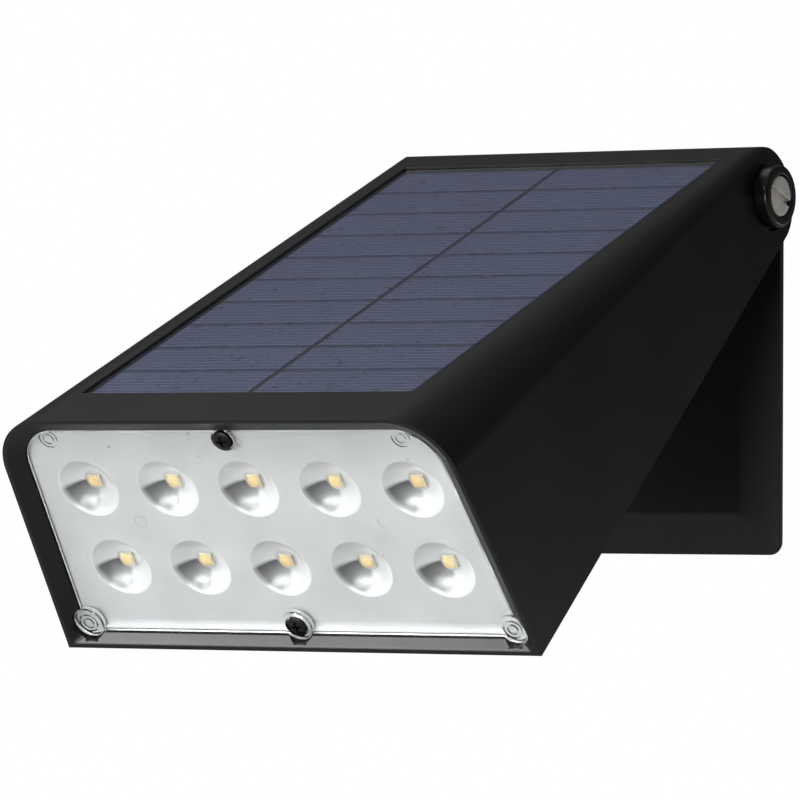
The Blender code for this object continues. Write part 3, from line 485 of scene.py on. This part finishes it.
shell_black = plastic("shell_black", (0.0035, 0.0035, 0.0038), (0.0055, 0.0055, 0.006), (0.28, 0.38), 0.012,
                      gloss=0.4)
bracket_black = plastic("bracket_black", (0.003, 0.003, 0.0034), (0.005, 0.005, 0.0056), (0.36, 0.48), 0.02,
                        gloss=0.35)
ring_black = plastic("ring_black", (0.004, 0.004, 0.0044), (0.008, 0.008, 0.009), (0.20, 0.30), 0.008)
steel_look = metal("steel_look", (0.56, 0.52, 0.47), (0.80, 0.77, 0.72), (0.36, 0.52), (1, 1, 5),
                   metallic=0.4)
dark_steel = metal("dark_steel", (0.020, 0.020, 0.020), (0.045, 0.045, 0.047), (0.25, 0.45))
panel_clear = clear("panel_clear", (0.90, 0.92, 0.95), (0.10, 0.18), 900.0, 1.18)
lens_clear = clear("lens_clear", (0.95, 0.96, 0.96), (0.02, 0.05), 500.0, 1.4)
cell_look = silicon()
backing = plastic("backing", (0.008, 0.009, 0.008), (0.016, 0.018, 0.015), (0.5, 0.7), gloss=0.3)
foam = plastic("foam_look", (0.012, 0.012, 0.012), (0.02, 0.02, 0.02), (0.85, 0.98), 0.1, 1400.0)
rubber = plastic("rubber_look", (0.012, 0.012, 0.013), (0.022, 0.022, 0.023), (0.6, 0.8), 0.03)
tray_look = silvered("tray_look", (0.60, 0.605, 0.61), (0.70, 0.705, 0.71), (0.24, 0.36), 0.25)
# the cups' painted shade comes through the mark named here
cup_look = silvered("cup_look", (0.74, 0.745, 0.75), (0.88, 0.885, 0.89), (0.26, 0.36), 0.35, "cup_painted_shade")
white_board = plastic("white_board", (0.62, 0.63, 0.62), (0.74, 0.75, 0.74), (0.35, 0.5))
green_board = plastic("green_board", (0.02, 0.13, 0.05), (0.035, 0.19, 0.08), (0.3, 0.5))
phosphor = plastic("phosphor", (0.78, 0.56, 0.24), (0.90, 0.70, 0.36), (0.35, 0.55), 0.01)
led_case = plastic("led_case", (0.72, 0.66, 0.50), (0.82, 0.77, 0.62), (0.3, 0.5), 0.01)
nylon = plastic("nylon_look", (0.58, 0.57, 0.52), (0.70, 0.69, 0.64), (0.4, 0.6))
wrap = plastic("battery_wrap_look", (0.02, 0.12, 0.32), (0.03, 0.18, 0.42), (0.25, 0.4), 0.006)
red_wire = plastic("red_wire", (0.42, 0.02, 0.02), (0.58, 0.04, 0.03), (0.35, 0.5))
black_wire = plastic("black_wire", (0.014, 0.014, 0.014), (0.028, 0.028, 0.028), (0.35, 0.5))


# ---- Housing ---------------------------------------------------------------------------------

SLOT_AHEAD = 12.0
SLOT_IN = 42.3
BAY_HALF = 40.3
ROOF = 4.8
RECESS_DOWN = 3.7
PAD_FACE, PAD_RADIUS = 60.3, 9.3
BOSS_IN, BOSS_RADIUS = 52.8, 6.4
BORE = 2.4
POCKET_START, POCKET_END, POCKET_DEPTH = 20.0, 163.0, 4.0
LEDGE = 1.6
SCREW_ROWS = (30.0, 92.0, 152.0)
COVER_COLUMN = 3.4       # radius of the posts that take the cover's screws
PIN_HOLE_OUT = 58.3      # the left bore ends blind here


def screw_places():
    rows = [(under_half(row, 0, 7.8), row) for row in SCREW_ROWS]
    return [(side * x, row) for x, row in rows for side in (1, -1)]


def head_block(inset=0.0):
    block = loft("block", "y", *[(section(y, inset, -FAR), y) for y in (-REACH - 10, REAR_RADIUS + 6)])
    if inset:
        return block
    outline = [(-REACH, TOP)] + rear_outline(0, TOP) + [(FOOT_Y, FOOT_Z)]
    return keep_inside(prism("wedge", "x", outline, -FAR, FAR), block)


def lobe_places():
    x, down = LOWER_BOSS
    return [(0.0, -LENS_SCREWS[1]), (x, -down), (-x, -down)]


def front_well():
    """Bezel with a softly rolled lip, the well behind it and the round notches."""
    foot = HEIGHT - BEZEL_FOOT
    layers = []
    for depth, inset, low in ((-0.5, RIM - 1.1, 0.5), (0.0, RIM - 0.35, 1.25), (0.35, RIM + 0.25, 1.6),
                              (LENS_FACE - 0.2, BEZEL - 0.15, BEZEL_FOOT - 0.1),
                              (LENS_FACE, BEZEL, BEZEL_FOOT), (WELL_FLOOR, BEZEL, BEZEL_FOOT)):
        layers.append((front_outline(inset, HEIGHT - low, 1.6), depth))
    well = loft("well", "y", *layers)
    edge = LOBE + GAP
    notch = [(0, 0.6), (edge + 0.5, 0.6), (edge, 1.2), (edge, TRAY_FACE), (0, TRAY_FACE)]
    notches = [turned("notch", "y", notch, centre, 48) for centre in lobe_places()]
    return [shifted(piece, FRONT_IN_HEAD) for piece in (well, *notches)]


def main_cavity():
    front = FRONT_IN_HEAD @ Vector((0, WELL_FLOOR + WALL, 0))
    roof = TOP - ROOF
    low_front = UNDER_IN_HEAD @ Vector((0, POCKET_START - 1, 6))
    low_rear = UNDER_IN_HEAD @ Vector((0, POCKET_END + 1, 6))
    rear = -SLOT_AHEAD - WALL
    outline = [(front.y + (front.z - roof) * tan(LEAN), roof), (rear, roof), (rear, low_rear.z),
               (low_rear.y - 2, low_rear.z - 0.5), (low_front.y, low_front.z)]
    cavity = keep_inside(prism("cavity", "x", outline, -FAR, FAR), head_block(WALL))
    edges = (POCKET_START + LEDGE, POCKET_END - LEDGE)
    opening = loft("opening", "z", (under_outline(*edges, 0, WALL + LEDGE), POCKET_DEPTH - 0.5),
                   (under_outline(*edges, 6, WALL + LEDGE), 7))
    cavity = join(cavity, shifted(opening, UNDER_IN_HEAD))
    columns = gathered("columns", [rod("column", "z", COVER_COLUMN, 3, FAR, at, 16) for at in screw_places()])
    return cut(cavity, shifted(columns, UNDER_IN_HEAD))


def rear_bay():
    roof = TOP - ROOF
    outline = rear_outline(WALL + 0.2, roof, 20)
    y, z = outline[-1]
    run = y + SLOT_AHEAD + WALL + 2
    outline += [(y - run, z - run * tan(UNDER_ANGLE) + 4.2), (y - run, roof)]
    return prism("bay", "x", outline, -BAY_HALF, BAY_HALF)


def arm_slots():
    slots = []
    split = PANEL_HALF + WALL
    for side in (1, -1):
        def region(roof):
            return [(-SLOT_AHEAD, -FAR), (FAR, -FAR), (FAR, roof), (-SLOT_AHEAD, roof)]
        slot = prism("slot", "x", region(TOP - WALL), side * split, side * FAR)
        slot = keep_inside(slot, head_block(WALL))
        slot = join(slot, prism("lower", "x", region(TOP - ROOF), side * SLOT_IN, side * (split + 1)))
        slots.append(cut(slot, rod("boss", "x", BOSS_RADIUS, side * BOSS_IN, side * FAR)))
    return slots


def panel_recess():
    half, front, rear = PANEL_HALF + GAP, PANEL_START - REACH - GAP, PANEL_END - REACH + GAP
    flare = 0.45
    rim = [(half + flare, front - flare), (half + flare, rear + flare), (-half - flare, rear + flare),
           (-half - flare, front - flare)]
    wall = [(half, front), (half, rear), (-half, rear), (-half, front)]
    return loft("recess", "z", (wall, TOP - RECESS_DOWN), (wall, TOP - 0.35), (rim, TOP + 0.1))


def lamp_shell():
    body = rounded(head_block(), 1.0)
    pad = rod("pad", "x", PAD_RADIUS, BOSS_IN + 4, PAD_FACE, steps=64)
    spotface = turned("spotface", "x", [(0, PAD_FACE), (PAD_RADIUS + 0.2, PAD_FACE), (PAD_RADIUS + 0.4, 61.0),
                                        (PAD_RADIUS + 1.0, 66.0), (0, 66.0)], steps=96)
    body = join(body, pad)
    opening = under_outline(POCKET_START, POCKET_END, 0, WALL)
    pocket = shifted(prism("pocket", "z", opening, -3, POCKET_DEPTH), UNDER_IN_HEAD)
    body = cut(body, *front_well(), panel_recess(), main_cavity(), pocket, rear_bay(), *arm_slots())
    bores = [rod("bore", "x", BORE, BAY_HALF - 1, FAR, steps=32),
             rod("bore", "x", BORE, -BAY_HALF + 1, -PIN_HOLE_OUT, steps=32)]
    body = cut(body, spotface, *bores)
    holes = gathered("holes", [rod("hole", "z", 1.5, -1, 14, at, 16) for at in screw_places()])
    body = cut(body, shifted(holes, UNDER_IN_HEAD))
    show(body, "lamp_shell", HEAD, "lamp_head", shell_black, "lamp_housing", sharp=28)


# ---- Front -----------------------------------------------------------------------------------

LENS_FOOT = HEIGHT - BEZEL_FOOT - GAP
FOOT_CORNER = 1.4        # radius of the lens's and tray's lower corners
SCREW_HOLE = 1.9
LED_PITCH_X, LED_PITCH_DOWN, LED_FIRST = 25.5, 26.3, 26.6
LED_BACK, LED_HALF, PHOSPHOR = 10.45, 1.9, 1.8
CUP_MOUTH = 9.0
CUP_THROAT = 3.2
CUP_SHADE_TURN = radians(224)    # middle and half width of the sector where painted shade darkens a cup
CUP_SHADE_HALF = radians(48)
CUP_BACK = TRAY_FACE + 5.0
TRAY_FLOOR = 6.3         # depth of the tray's flat floor; its border is level with TRAY_FACE
COVE_WIDTH, COVE_LOW = 4.6, 2.4
DIMPLE = (38.4, 37.4)    # shallow ring marks between the rows of cups


def led_places():
    rows = [-(LED_FIRST + row * LED_PITCH_DOWN) for row in range(2)]
    return [(column * LED_PITCH_X, z) for z in rows for column in range(-2, 3)]


def lens_plate():
    """Clear plate with eased edges, round lobes and boss rings."""
    back = LENS_FACE + LENS_THICK
    edge = 0.35
    plate = loft("plate", "y",
                 (front_outline(BEZEL + GAP + edge, LENS_FOOT - edge, FOOT_CORNER), LENS_FACE),
                 (front_outline(BEZEL + GAP, LENS_FOOT, FOOT_CORNER), LENS_FACE + edge),
                 (front_outline(BEZEL + GAP, LENS_FOOT, FOOT_CORNER), back))
    for centre in lobe_places():
        lobe = [(0, LENS_FACE - 0.4), (LOBE - 0.3, LENS_FACE - 0.4), (LOBE, LENS_FACE - 0.1), (LOBE, back),
                (0, back)]
        plate = join(plate, turned("lobe", "y", lobe, centre, 64))
    x, down = UPPER_BOSS
    rings = [(x, -down), (-x, -down), *lobe_places()[1:]]
    for centre in rings:
        for radius in (1.5, 2.7):
            low, high = radius - 0.25, radius + 0.25
            groove = [(low, LENS_FACE - 1), (high, LENS_FACE - 1), (high, LENS_FACE - 0.1),
                      (radius, LENS_FACE + 0.2), (low, LENS_FACE - 0.1)]
            plate = cut(plate, turned("groove", "y", groove, centre, 48))
    for down in LENS_SCREWS:
        seat = [(0, 1), (3.6, 1), (3.35, LENS_FACE), (3.3, LENS_FACE + 1.0), (0, LENS_FACE + 1.0)]
        plate = cut(plate, turned("seat", "y", seat, (0, -down), 48),
                    rod("hole", "y", SCREW_HOLE, 0, back + 1, (0, -down), 32))
    show(plate, "lens_plate", FRONT, "lamp_head", lens_clear, "lens_cover")


def reflector_tray():
    """Silvery tray with a coved border and ten round cups."""
    foot, skin, edge = LENS_FOOT, 1.6, BEZEL + GAP
    tray = prism("tray", "y", front_outline(edge, foot, FOOT_CORNER), TRAY_FACE - 0.1, TRAY_FACE + skin)
    cove = [(front_outline(edge + 0.35, foot - 0.35, FOOT_CORNER), TRAY_FACE - 0.5)]
    for step in range(9):
        run = step / 8
        width, low = 0.35 + COVE_WIDTH * run, 0.35 + COVE_LOW * run
        cove.append((front_outline(edge + width, foot - low, FOOT_CORNER + 2.0 * run),
                     TRAY_FACE - 0.1 + (TRAY_FLOOR - TRAY_FACE + 0.1) * sin(run * pi / 2)))
    tray = cut(tray, loft("cove", "y", *cove))
    for centre in lobe_places():
        tray = join(tray, rod("foot", "y", LOBE - 0.3, TRAY_FACE - 0.32, TRAY_FACE - 0.05, centre, 64))
    for side in (1, -1):
        ring = [(1.5, TRAY_FLOOR - 1), (2.2, TRAY_FLOOR - 1), (2.05, TRAY_FLOOR + 0.15),
                (1.65, TRAY_FLOOR + 0.15)]
        tray = cut(tray, turned("dimple", "y", ring, (side * DIMPLE[0], -DIMPLE[1]), 40))
    shell = [(0, TRAY_FLOOR + 0.3), (CUP_MOUTH + 1, TRAY_FLOOR + 0.3), (CUP_MOUTH + 1, TRAY_FACE + skin),
             (CUP_THROAT + 1, CUP_BACK), (0, CUP_BACK)]
    shells = gathered("shells", [turned("shell", "y", shell, centre, 64) for centre in led_places()])
    profile = [(0, TRAY_FLOOR - 1), (CUP_MOUTH + 0.3, TRAY_FLOOR - 1), (CUP_MOUTH + 0.3, TRAY_FLOOR - 0.05)]
    for i in range(13):
        t = i / 12
        profile.append((CUP_MOUTH - 0.15 - (CUP_MOUTH - CUP_THROAT - 0.15) * t,
                        TRAY_FLOOR + 0.2 + (CUP_BACK - TRAY_FLOOR - 0.2) * (1 - (1 - t) ** 1.7)))
    profile += [(CUP_THROAT, CUP_BACK + 1), (0, CUP_BACK + 1)]
    bowls = gathered("bowls", [turned("bowl", "y", profile, centre, 64) for centre in led_places()])
    tray = cut(join(tray, shells), bowls)
    holes = [rod("hole", "y", SCREW_HOLE, 0, 30, (0, -down), 32) for down in LENS_SCREWS]
    tray = cut(tray, *holes)
    made = show(tray, "reflector_tray", FRONT, "lamp_head", tray_look, "reflector", sharp=40)
    made.data.materials.append(cup_look)
    to_front = (Matrix.Scale(MM, 4) @ FRONT).inverted()
    for face in made.data.polygons:
        spot = to_front @ face.center
        near = min(hypot(spot.x - x, spot.z - z) for x, z in led_places())
        if near < CUP_MOUTH + 0.2 and spot.y > TRAY_FLOOR + 0.05:
            face.material_index = 1
    # painted shade in the lower-left of each cup
    paint_cup_shade(made, to_front)


def paint_cup_shade(made, to_front):
    """Marks the points in the lower-left sector of a cup, where painted shade darkens the cup; it is lighter
    towards the bottom of the sector.
    """
    marks = made.data.attributes.new("cup_painted_shade", "FLOAT", "POINT")
    for vertex, mark in zip(made.data.vertices, marks.data):
        spot = to_front @ vertex.co
        x, z = min(((spot.x - x, spot.z - z) for x, z in led_places()), key=lambda at: hypot(*at))
        reach = hypot(x, z) / CUP_MOUTH
        if reach > 1.02 or reach < 0.05:
            continue
        away = (atan2(z, x) - CUP_SHADE_TURN + pi) % (2 * pi) - pi
        sector = min(1.0, max(0.0, (CUP_SHADE_HALF - abs(away)) / 0.16))
        # strength of the painted shade, lighter towards the bottom of the sector and fading out at the cup's
        # mouth
        mark.value = sector * (0.72 - 0.38 * away) * min(1.0, (1.05 - reach) * 6)


def led_pieces():
    """Square package and domed phosphor for each LED."""
    back, half = LED_BACK, LED_HALF
    to_front = (Matrix.Scale(MM, 4) @ FRONT).inverted()
    for number, centre in enumerate(led_places(), 1):
        x, z = centre
        base = rounded(box("base", (x - half, back - 0.8, z - half), (x + half, back, z + half)), 0.15, 2)
        profile = [(0, back - 0.6), (PHOSPHOR, back - 0.6)]
        profile += [(PHOSPHOR * cos(t * pi / 20), back - 0.8 - 0.8 * sin(t * pi / 20)) for t in range(10)]
        profile.append((0, back - 1.6))
        dome = turned("dome", "y", profile, centre, 40)
        made = show(join(base, dome), f"led_{number}", FRONT, "lamp_head", phosphor, f"led_chip_{number}")
        made.data.materials.append(led_case)
        for face in made.data.polygons:
            spot = to_front @ face.center
            if hypot(spot.x - x, spot.z - z) > PHOSPHOR - 0.05 or spot.y > back - 0.7:
                face.material_index = 1


def pan_screw(axis, centre, top, head, depth, shank, length):
    """Pan-head screw with a rounded head, a cross recess and a tapered tip."""
    profile = [(0, top)]
    profile += [(head * sin(t * pi / 16), top + depth * 0.55 * (1 - cos(t * pi / 16))) for t in range(2, 9)]
    profile += [(head, top + depth), (shank, top + depth), (shank, top + (length - shank)), (0, top + length)]
    made = turned("screw", axis, profile, centre, 40)
    arm, half = head * 0.55, head * 0.12
    for a, b in ((arm, half), (half, arm)):
        outline = [(centre[0] - a, centre[1] - b), (centre[0] + a, centre[1] - b),
                   (centre[0] + a, centre[1] + b), (centre[0] - a, centre[1] + b)]
        made = cut(made, prism("recess", axis, outline, top - 1, top + depth * 0.6))
    return made


def screws():
    for word, down in zip(("top", "bottom"), LENS_SCREWS):
        made = pan_screw("y", (0, -down), LENS_FACE - 0.9, 2.9, 1.6, 1.4, 14.5)
        show(made, f"lens_pan_screw_{word}", FRONT, "lamp_head", dark_steel, f"lens_screw_{word}")
    for number, centre in enumerate(screw_places(), 1):
        made = pan_screw("z", centre, 0.1, 2.8, 1.1, 1.2, 11)
        show(made, f"cover_pan_screw_{number}", UNDER, "lamp_head", steel_look, f"cover_screw_{number}")


# ---- Underside -------------------------------------------------------------------------------

BUTTON_AT = (0.0, 113.0)
BOARD_POSTS = ((-16.0, 100.0), (16.0, 126.0))


def under_plate():
    """Cover plate with an eased edge, screw pillars and the button's flared hole."""
    start, end, inset = POCKET_START + GAP, POCKET_END - GAP, WALL + GAP
    edge = 0.4
    plate = loft("plate", "z", (under_outline(start + edge, end - edge, 0, inset + edge), 0),
                 (under_outline(start, end, edge, inset), edge), (under_outline(start, end, 2.2, inset), 2.2))
    pillars = [rod("pillar", "z", COVER_COLUMN, 1.6, 3.7, at, 32) for at in screw_places()]
    pillars += [rod("pillar", "z", 2.6, 1.6, 8.9, at, 24) for at in BOARD_POSTS]
    plate = join(plate, gathered("pillars", pillars))
    seat = [(0, -1), (3.5, -1), (3.1, 0.3), (3.1, 1.4), (1.6, 1.4), (1.6, 6), (0, 6)]
    drills = [turned("drill", "z", seat, at, 40) for at in screw_places()]
    drills += [rod("drill", "z", 1.2, 3, 12, at, 16) for at in BOARD_POSTS]
    drills += [rod("drill", "z", 1.3, 0.8, 5, (side * 41.0, 55.0), 16) for side in (1, -1)]
    drills.append(turned("drill", "z", [(0, -1), (5.2, -1), (4.3, 0.5), (4.3, 4), (0, 4)], BUTTON_AT, 64))
    plate = cut(plate, gathered("drills", drills))
    show(plate, "under_plate", UNDER, "lamp_head", shell_black, "bottom_cover")


def push_button():
    """Domed rubber button with a dished face."""
    x, y = BUTTON_AT
    profile = [(0, -0.65), (1.6, -0.8), (2.6, -0.9)]
    profile += [(2.6 + 1.4 * sin(t * pi / 12), -0.9 + 0.9 * (1 - cos(t * pi / 12))) for t in range(1, 7)]
    profile += [(4.0, 2.5), (5.6, 2.5), (5.6, 3.3), (1.5, 3.3), (1.5, 4.4), (0, 4.4)]
    button = turned("button", "z", profile, BUTTON_AT, 64)
    show(button, "push_button", UNDER, "mode_button", rubber, "mode_button")


# ---- Pivot -----------------------------------------------------------------------------------

COLLAR_IN, COLLAR_OUT, COLLAR_RADIUS = 60.6, 65.0, 8.8
HEAD_SEAT, HEAD_FACE, HEAD_RADIUS = 62.5, 64.8, 5.8
SLOT_ANGLE, SLOT_HALF = radians(-20), 0.95


def clamp_ring():
    """Glossy ring with rolled outer and inner lips and a counterbore for the screw's head."""
    lip = 0.9
    profile = [(BORE, COLLAR_IN), (COLLAR_RADIUS - 0.2, COLLAR_IN), (COLLAR_RADIUS, COLLAR_IN + 0.2)]
    profile += [(COLLAR_RADIUS - lip + lip * cos(t * pi / 12), COLLAR_OUT - lip + lip * sin(t * pi / 12))
                for t in range(7)]
    inner = HEAD_RADIUS + GAP
    profile += [(inner + 0.4 * (1 - sin(t * pi / 8)), COLLAR_OUT - 0.4 * (1 - cos(t * pi / 8)))
                for t in range(5)]
    profile += [(inner, HEAD_SEAT), (BORE, HEAD_SEAT)]
    ring = turned("ring", "x", profile, steps=128)
    show(ring, "clamp_ring", AXLE, "lamp_head", ring_black, "pivot_collar_right")


def coin_screw():
    """Stainless screw with a rounded rim, a coin slot with eased lips, a shank and a chamfered tip."""
    under, tip = HEAD_SEAT + GAP, 43.2
    edge = 0.6
    profile = [(0, HEAD_FACE)]
    profile += [(HEAD_RADIUS - edge + edge * sin(t * pi / 12), HEAD_FACE - edge * (1 - cos(t * pi / 12)))
                for t in range(7)]
    profile += [(HEAD_RADIUS, under), (2.0, under), (2.0, tip + 0.5), (1.5, tip), (0, tip)]
    made = turned("screw", "x", profile, steps=96)
    half = SLOT_HALF
    face, floor = HEAD_FACE, HEAD_FACE - 1.3
    outline = [(-half - 0.35, face + 0.1), (-half, face - 0.3), (-half, floor + 0.25), (-half + 0.25, floor),
               (half - 0.25, floor), (half, floor + 0.25), (half, face - 0.3), (half + 0.35, face + 0.1)]
    slot = prism("slot", "y", [(x, z) for z, x in outline], -9, 9)
    slot.data.transform(Matrix.Rotation(SLOT_ANGLE, 4, "X"))
    show(cut(made, slot), "coin_screw", AXLE, "pivot_screw_right", steel_look, "pivot_screw_right")


# ---- Bracket ---------------------------------------------------------------------------------

PLATE_HALF, PLATE_TOP = 52.5, 54.5
PLATE_EDGE, PLATE_FACE = 2.0, 4.9
PLATE_BEVEL = 11.7
PLATE_HOLES = ((-34.0, 20.0), (34.0, 20.0), (0.0, -38.0))
RIB_FROM_EDGE = 5.2
AXIS_OUT, AXIS_UP = -AXIS.y / MM, AXIS.z / MM


def plate_layer(inset, radius):
    half, high = PLATE_HALF - inset, PLATE_TOP - inset
    right = arc((half - radius, high - radius), radius, pi / 2, 0, 10)
    right += arc((half - radius, -high + radius), radius, 0, -pi / 2, 10)
    return both_sides(right)


def mount_plate():
    """Bevelled wall plate with soft edges, ribs behind and the two arms."""
    shell = loft("plate", "y", (plate_layer(0, 4.0), 0), (plate_layer(0, 4.0), -PLATE_EDGE + 0.5),
                 (plate_layer(0.15, 3.9), -PLATE_EDGE + 0.15), (plate_layer(0.5, 3.7), -PLATE_EDGE - 0.05),
                 (plate_layer(PLATE_BEVEL - 0.8, 1.6), -PLATE_FACE + 0.15),
                 (plate_layer(PLATE_BEVEL - 0.1, 1.2), -PLATE_FACE + 0.02),
                 (plate_layer(PLATE_BEVEL + 0.6, 1.0), -PLATE_FACE))
    hollow = loft("hollow", "y", (plate_layer(3.0, 2.0), 1),
                  (plate_layer(PLATE_BEVEL, 1.0), -PLATE_FACE + 2.2))
    shell = cut(shell, hollow)
    deep = -PLATE_EDGE - 1.2
    high, wide = PLATE_TOP - RIB_FROM_EDGE, PLATE_HALF - RIB_FROM_EDGE
    ribs = [box("rib", (-1.2, deep, -high), (1.2, 0, high)), box("rib", (-wide, deep, -1.2), (wide, 0, 1.2))]
    ribs += [rod("pad", "y", 7.0, deep, 0, centre, 48) for centre in ((0.0, 0.0), *PLATE_HOLES)]
    shell = join(shell, *ribs)
    root = AXIS_UP - 13.0
    eye = arc((-AXIS_OUT, AXIS_UP), 5.5, pi / 2, 3 * pi / 2 + radians(14), 40)
    outline = eye + [(-PLATE_EDGE - 1, root), (-0.6, root), (-0.6, AXIS_UP + 5.5)]
    for side in (1, -1):
        arm = rounded(prism("arm", "x", outline, side * 46.5, side * 51.3), 0.4, 2, 40)
        arm = cut(arm, rod("bore", "x", BORE, side * 45.5, side * 52.3, (-AXIS_OUT, AXIS_UP), 32))
        if side > 0:
            hexagon = arc((-AXIS_OUT, AXIS_UP), 3.8 / cos(pi / 6), 0, 2 * pi, 6)[:-1]
            arm = cut(arm, prism("nut_pocket", "x", hexagon, 45.5, 48.2))
        shell = join(shell, arm)
    drill = [(0, 1), (2.4, 1), (2.4, -PLATE_FACE + 2.4), (4.8, -PLATE_FACE), (4.8, -PLATE_FACE - 1),
             (0, -PLATE_FACE - 1)]
    for hole in PLATE_HOLES:
        shell = cut(shell, turned("drill", "y", drill, hole, 48))
    show(shell, "mount_plate", WORLD, "wall_bracket", bracket_black, "wall_bracket", sharp=28)


# ---- CAD nodes kept as they are, with procedural materials -----------------------------------

KEPT = {
    "panel_cover": panel_clear, "cell_string_left": cell_look, "cell_string_right": cell_look,
    "panel_back_board": backing, "panel_tape": foam, "lens_gasket": rubber, "led_board": white_board,
    "cover_seal": rubber, "mode_switch": dark_steel, "control_board": green_board,
    "board_screw_1": steel_look, "board_screw_2": steel_look, "battery_cell_1": wrap, "battery_cell_2": wrap,
    "battery_holder": nylon, "holder_screw_left": steel_look, "holder_screw_right": steel_look,
    "panel_lead_red": red_wire, "led_lead_red": red_wire, "battery_lead_red": red_wire,
    "panel_lead_black": black_wire, "led_lead_black": black_wire, "battery_lead_black": black_wire,
    "friction_washer_left": nylon, "friction_washer_right": nylon, "pivot_nut_right": steel_look,
    "pivot_pin_left": steel_look,
}


def dress_kept_nodes():
    for node, material in KEPT.items():
        for slot in bpy.data.objects[node].material_slots:
            slot.material = material


# ---- Stage -----------------------------------------------------------------------------------

FLOOR_Z = -0.30
CAMERA_FROM_AXIS = Vector((0.96413, -1.64592, -0.08729))
YAW, PITCH, ROLL = radians(31.917), radians(-0.904), radians(0.252)
FOCAL = 300.33


def camera():
    ahead = Vector((-sin(YAW) * cos(PITCH), cos(YAW) * cos(PITCH), -sin(PITCH)))
    right = Vector((cos(YAW), sin(YAW), 0))
    up = right.cross(ahead)
    rolled_right = cos(ROLL) * right + sin(ROLL) * up
    rolled_up = -sin(ROLL) * right + cos(ROLL) * up
    data = bpy.data.cameras.new("camera")
    data.sensor_width = 36
    data.lens = FOCAL
    data.clip_end = 60
    made = bpy.data.objects.new("camera", data)
    bpy.context.scene.collection.objects.link(made)
    place = Matrix((rolled_right, rolled_up, -ahead)).transposed().to_4x4()
    place.translation = AXIS + CAMERA_FROM_AXIS
    made.matrix_world = place
    bpy.context.scene.camera = made


def lamp(name, place, target, size, power):
    data = bpy.data.lights.new(name, "AREA")
    data.shape = "RECTANGLE"
    data.size, data.size_y = size
    data.energy = power
    made = bpy.data.objects.new(name, data)
    bpy.context.scene.collection.objects.link(made)
    made.location = place
    made.rotation_euler = (Vector(target) - Vector(place)).to_track_quat("-Z", "Y").to_euler()


def surroundings():
    """White to the camera; to the lamp itself, bright overhead and dim at the horizon."""
    world = bpy.data.worlds.new("studio")
    world.use_nodes = True
    nodes, links = world.node_tree.nodes, world.node_tree.links
    direction = nodes.new("ShaderNodeTexCoord")
    split = nodes.new("ShaderNodeSeparateXYZ")
    links.new(direction.outputs["Generated"], split.inputs[0])
    height = nodes.new("ShaderNodeMapRange")
    height.inputs["From Min"].default_value = -1.0
    height.inputs["From Max"].default_value = 1.0
    links.new(split.outputs["Z"], height.inputs["Value"])
    sky = nodes.new("ShaderNodeValToRGB")
    stops = ((0.0, 0.45), (0.38, 0.06), (0.55, 0.05), (0.78, 0.12), (1.0, 0.25))
    while len(sky.color_ramp.elements) < len(stops):
        sky.color_ramp.elements.new(0.5)
    for point, (at, value) in zip(sky.color_ramp.elements, stops):
        point.position = at
        point.color = (value, value, value, 1)
    links.new(height.outputs[0], sky.inputs["Fac"])
    path = nodes.new("ShaderNodeLightPath")
    mixer = nodes.new("ShaderNodeMix")
    mixer.data_type = "RGBA"
    links.new(path.outputs["Is Camera Ray"], mixer.inputs[0])
    links.new(sky.outputs["Color"], mixer.inputs[6])
    mixer.inputs[7].default_value = (1, 1, 1, 1)
    links.new(mixer.outputs[2], nodes["Background"].inputs["Color"])
    bpy.context.scene.world = world


def floor():
    """Pale floor, far below and wide, white where the camera sees it."""
    made = box("floor", (-9000, -9000, FLOOR_Z / MM - 20), (9000, 9000, FLOOR_Z / MM))
    made.data.transform(Matrix.Scale(MM, 4))
    look = Look("floor_pale", roughness=0.9)
    look.colour(look.ramp(look.grain(3.0, 4.0), (0.3, 0.78), (0.7, 0.82)))
    glow = look.node("ShaderNodeEmission")
    path = look.node("ShaderNodeLightPath")
    mixer = look.node("ShaderNodeMixShader")
    look.link(path.outputs["Is Camera Ray"], mixer.inputs[0])
    look.link(look.shader.outputs["BSDF"], mixer.inputs[1])
    look.link(glow.outputs["Emission"], mixer.inputs[2])
    look.link(mixer.outputs["Shader"], look.tree.nodes["Material Output"].inputs["Surface"])
    made.data.materials.append(look.material)


lamp_shell()
lens_plate()
reflector_tray()
led_pieces()
screws()
under_plate()
push_button()
clamp_ring()
coin_screw()
mount_plate()
dress_kept_nodes()
camera()
lamp("front_box", (0.10, -1.75, -0.12), (0, -0.2, 0.0), (1.1, 0.26), 10)
lamp("low_box", (-0.1, -1.0, -0.29), (0, -0.2, 0.0), (1.2, 0.5), 2.6)
lamp("edge_box", (-1.0, -1.5, 0.80), (0, -0.2, 0.0), (0.8, 0.3), 20)
lamp("slim_strip", (-0.48, -1.9, 0.1), (0.04, 0, 0), (0.10, 0.8), 3)
lamp("top_box", (-0.7, 0.1, 1.3), (0, -0.1, 0.0), (0.9, 0.9), 2)
lamp("back_card", (0.98, 1.42, -0.18), (0.06, 0, 0.05), (0.25, 0.2), 0.9)
surroundings()
floor()
bpy.context.scene.view_settings.view_transform = "Standard"
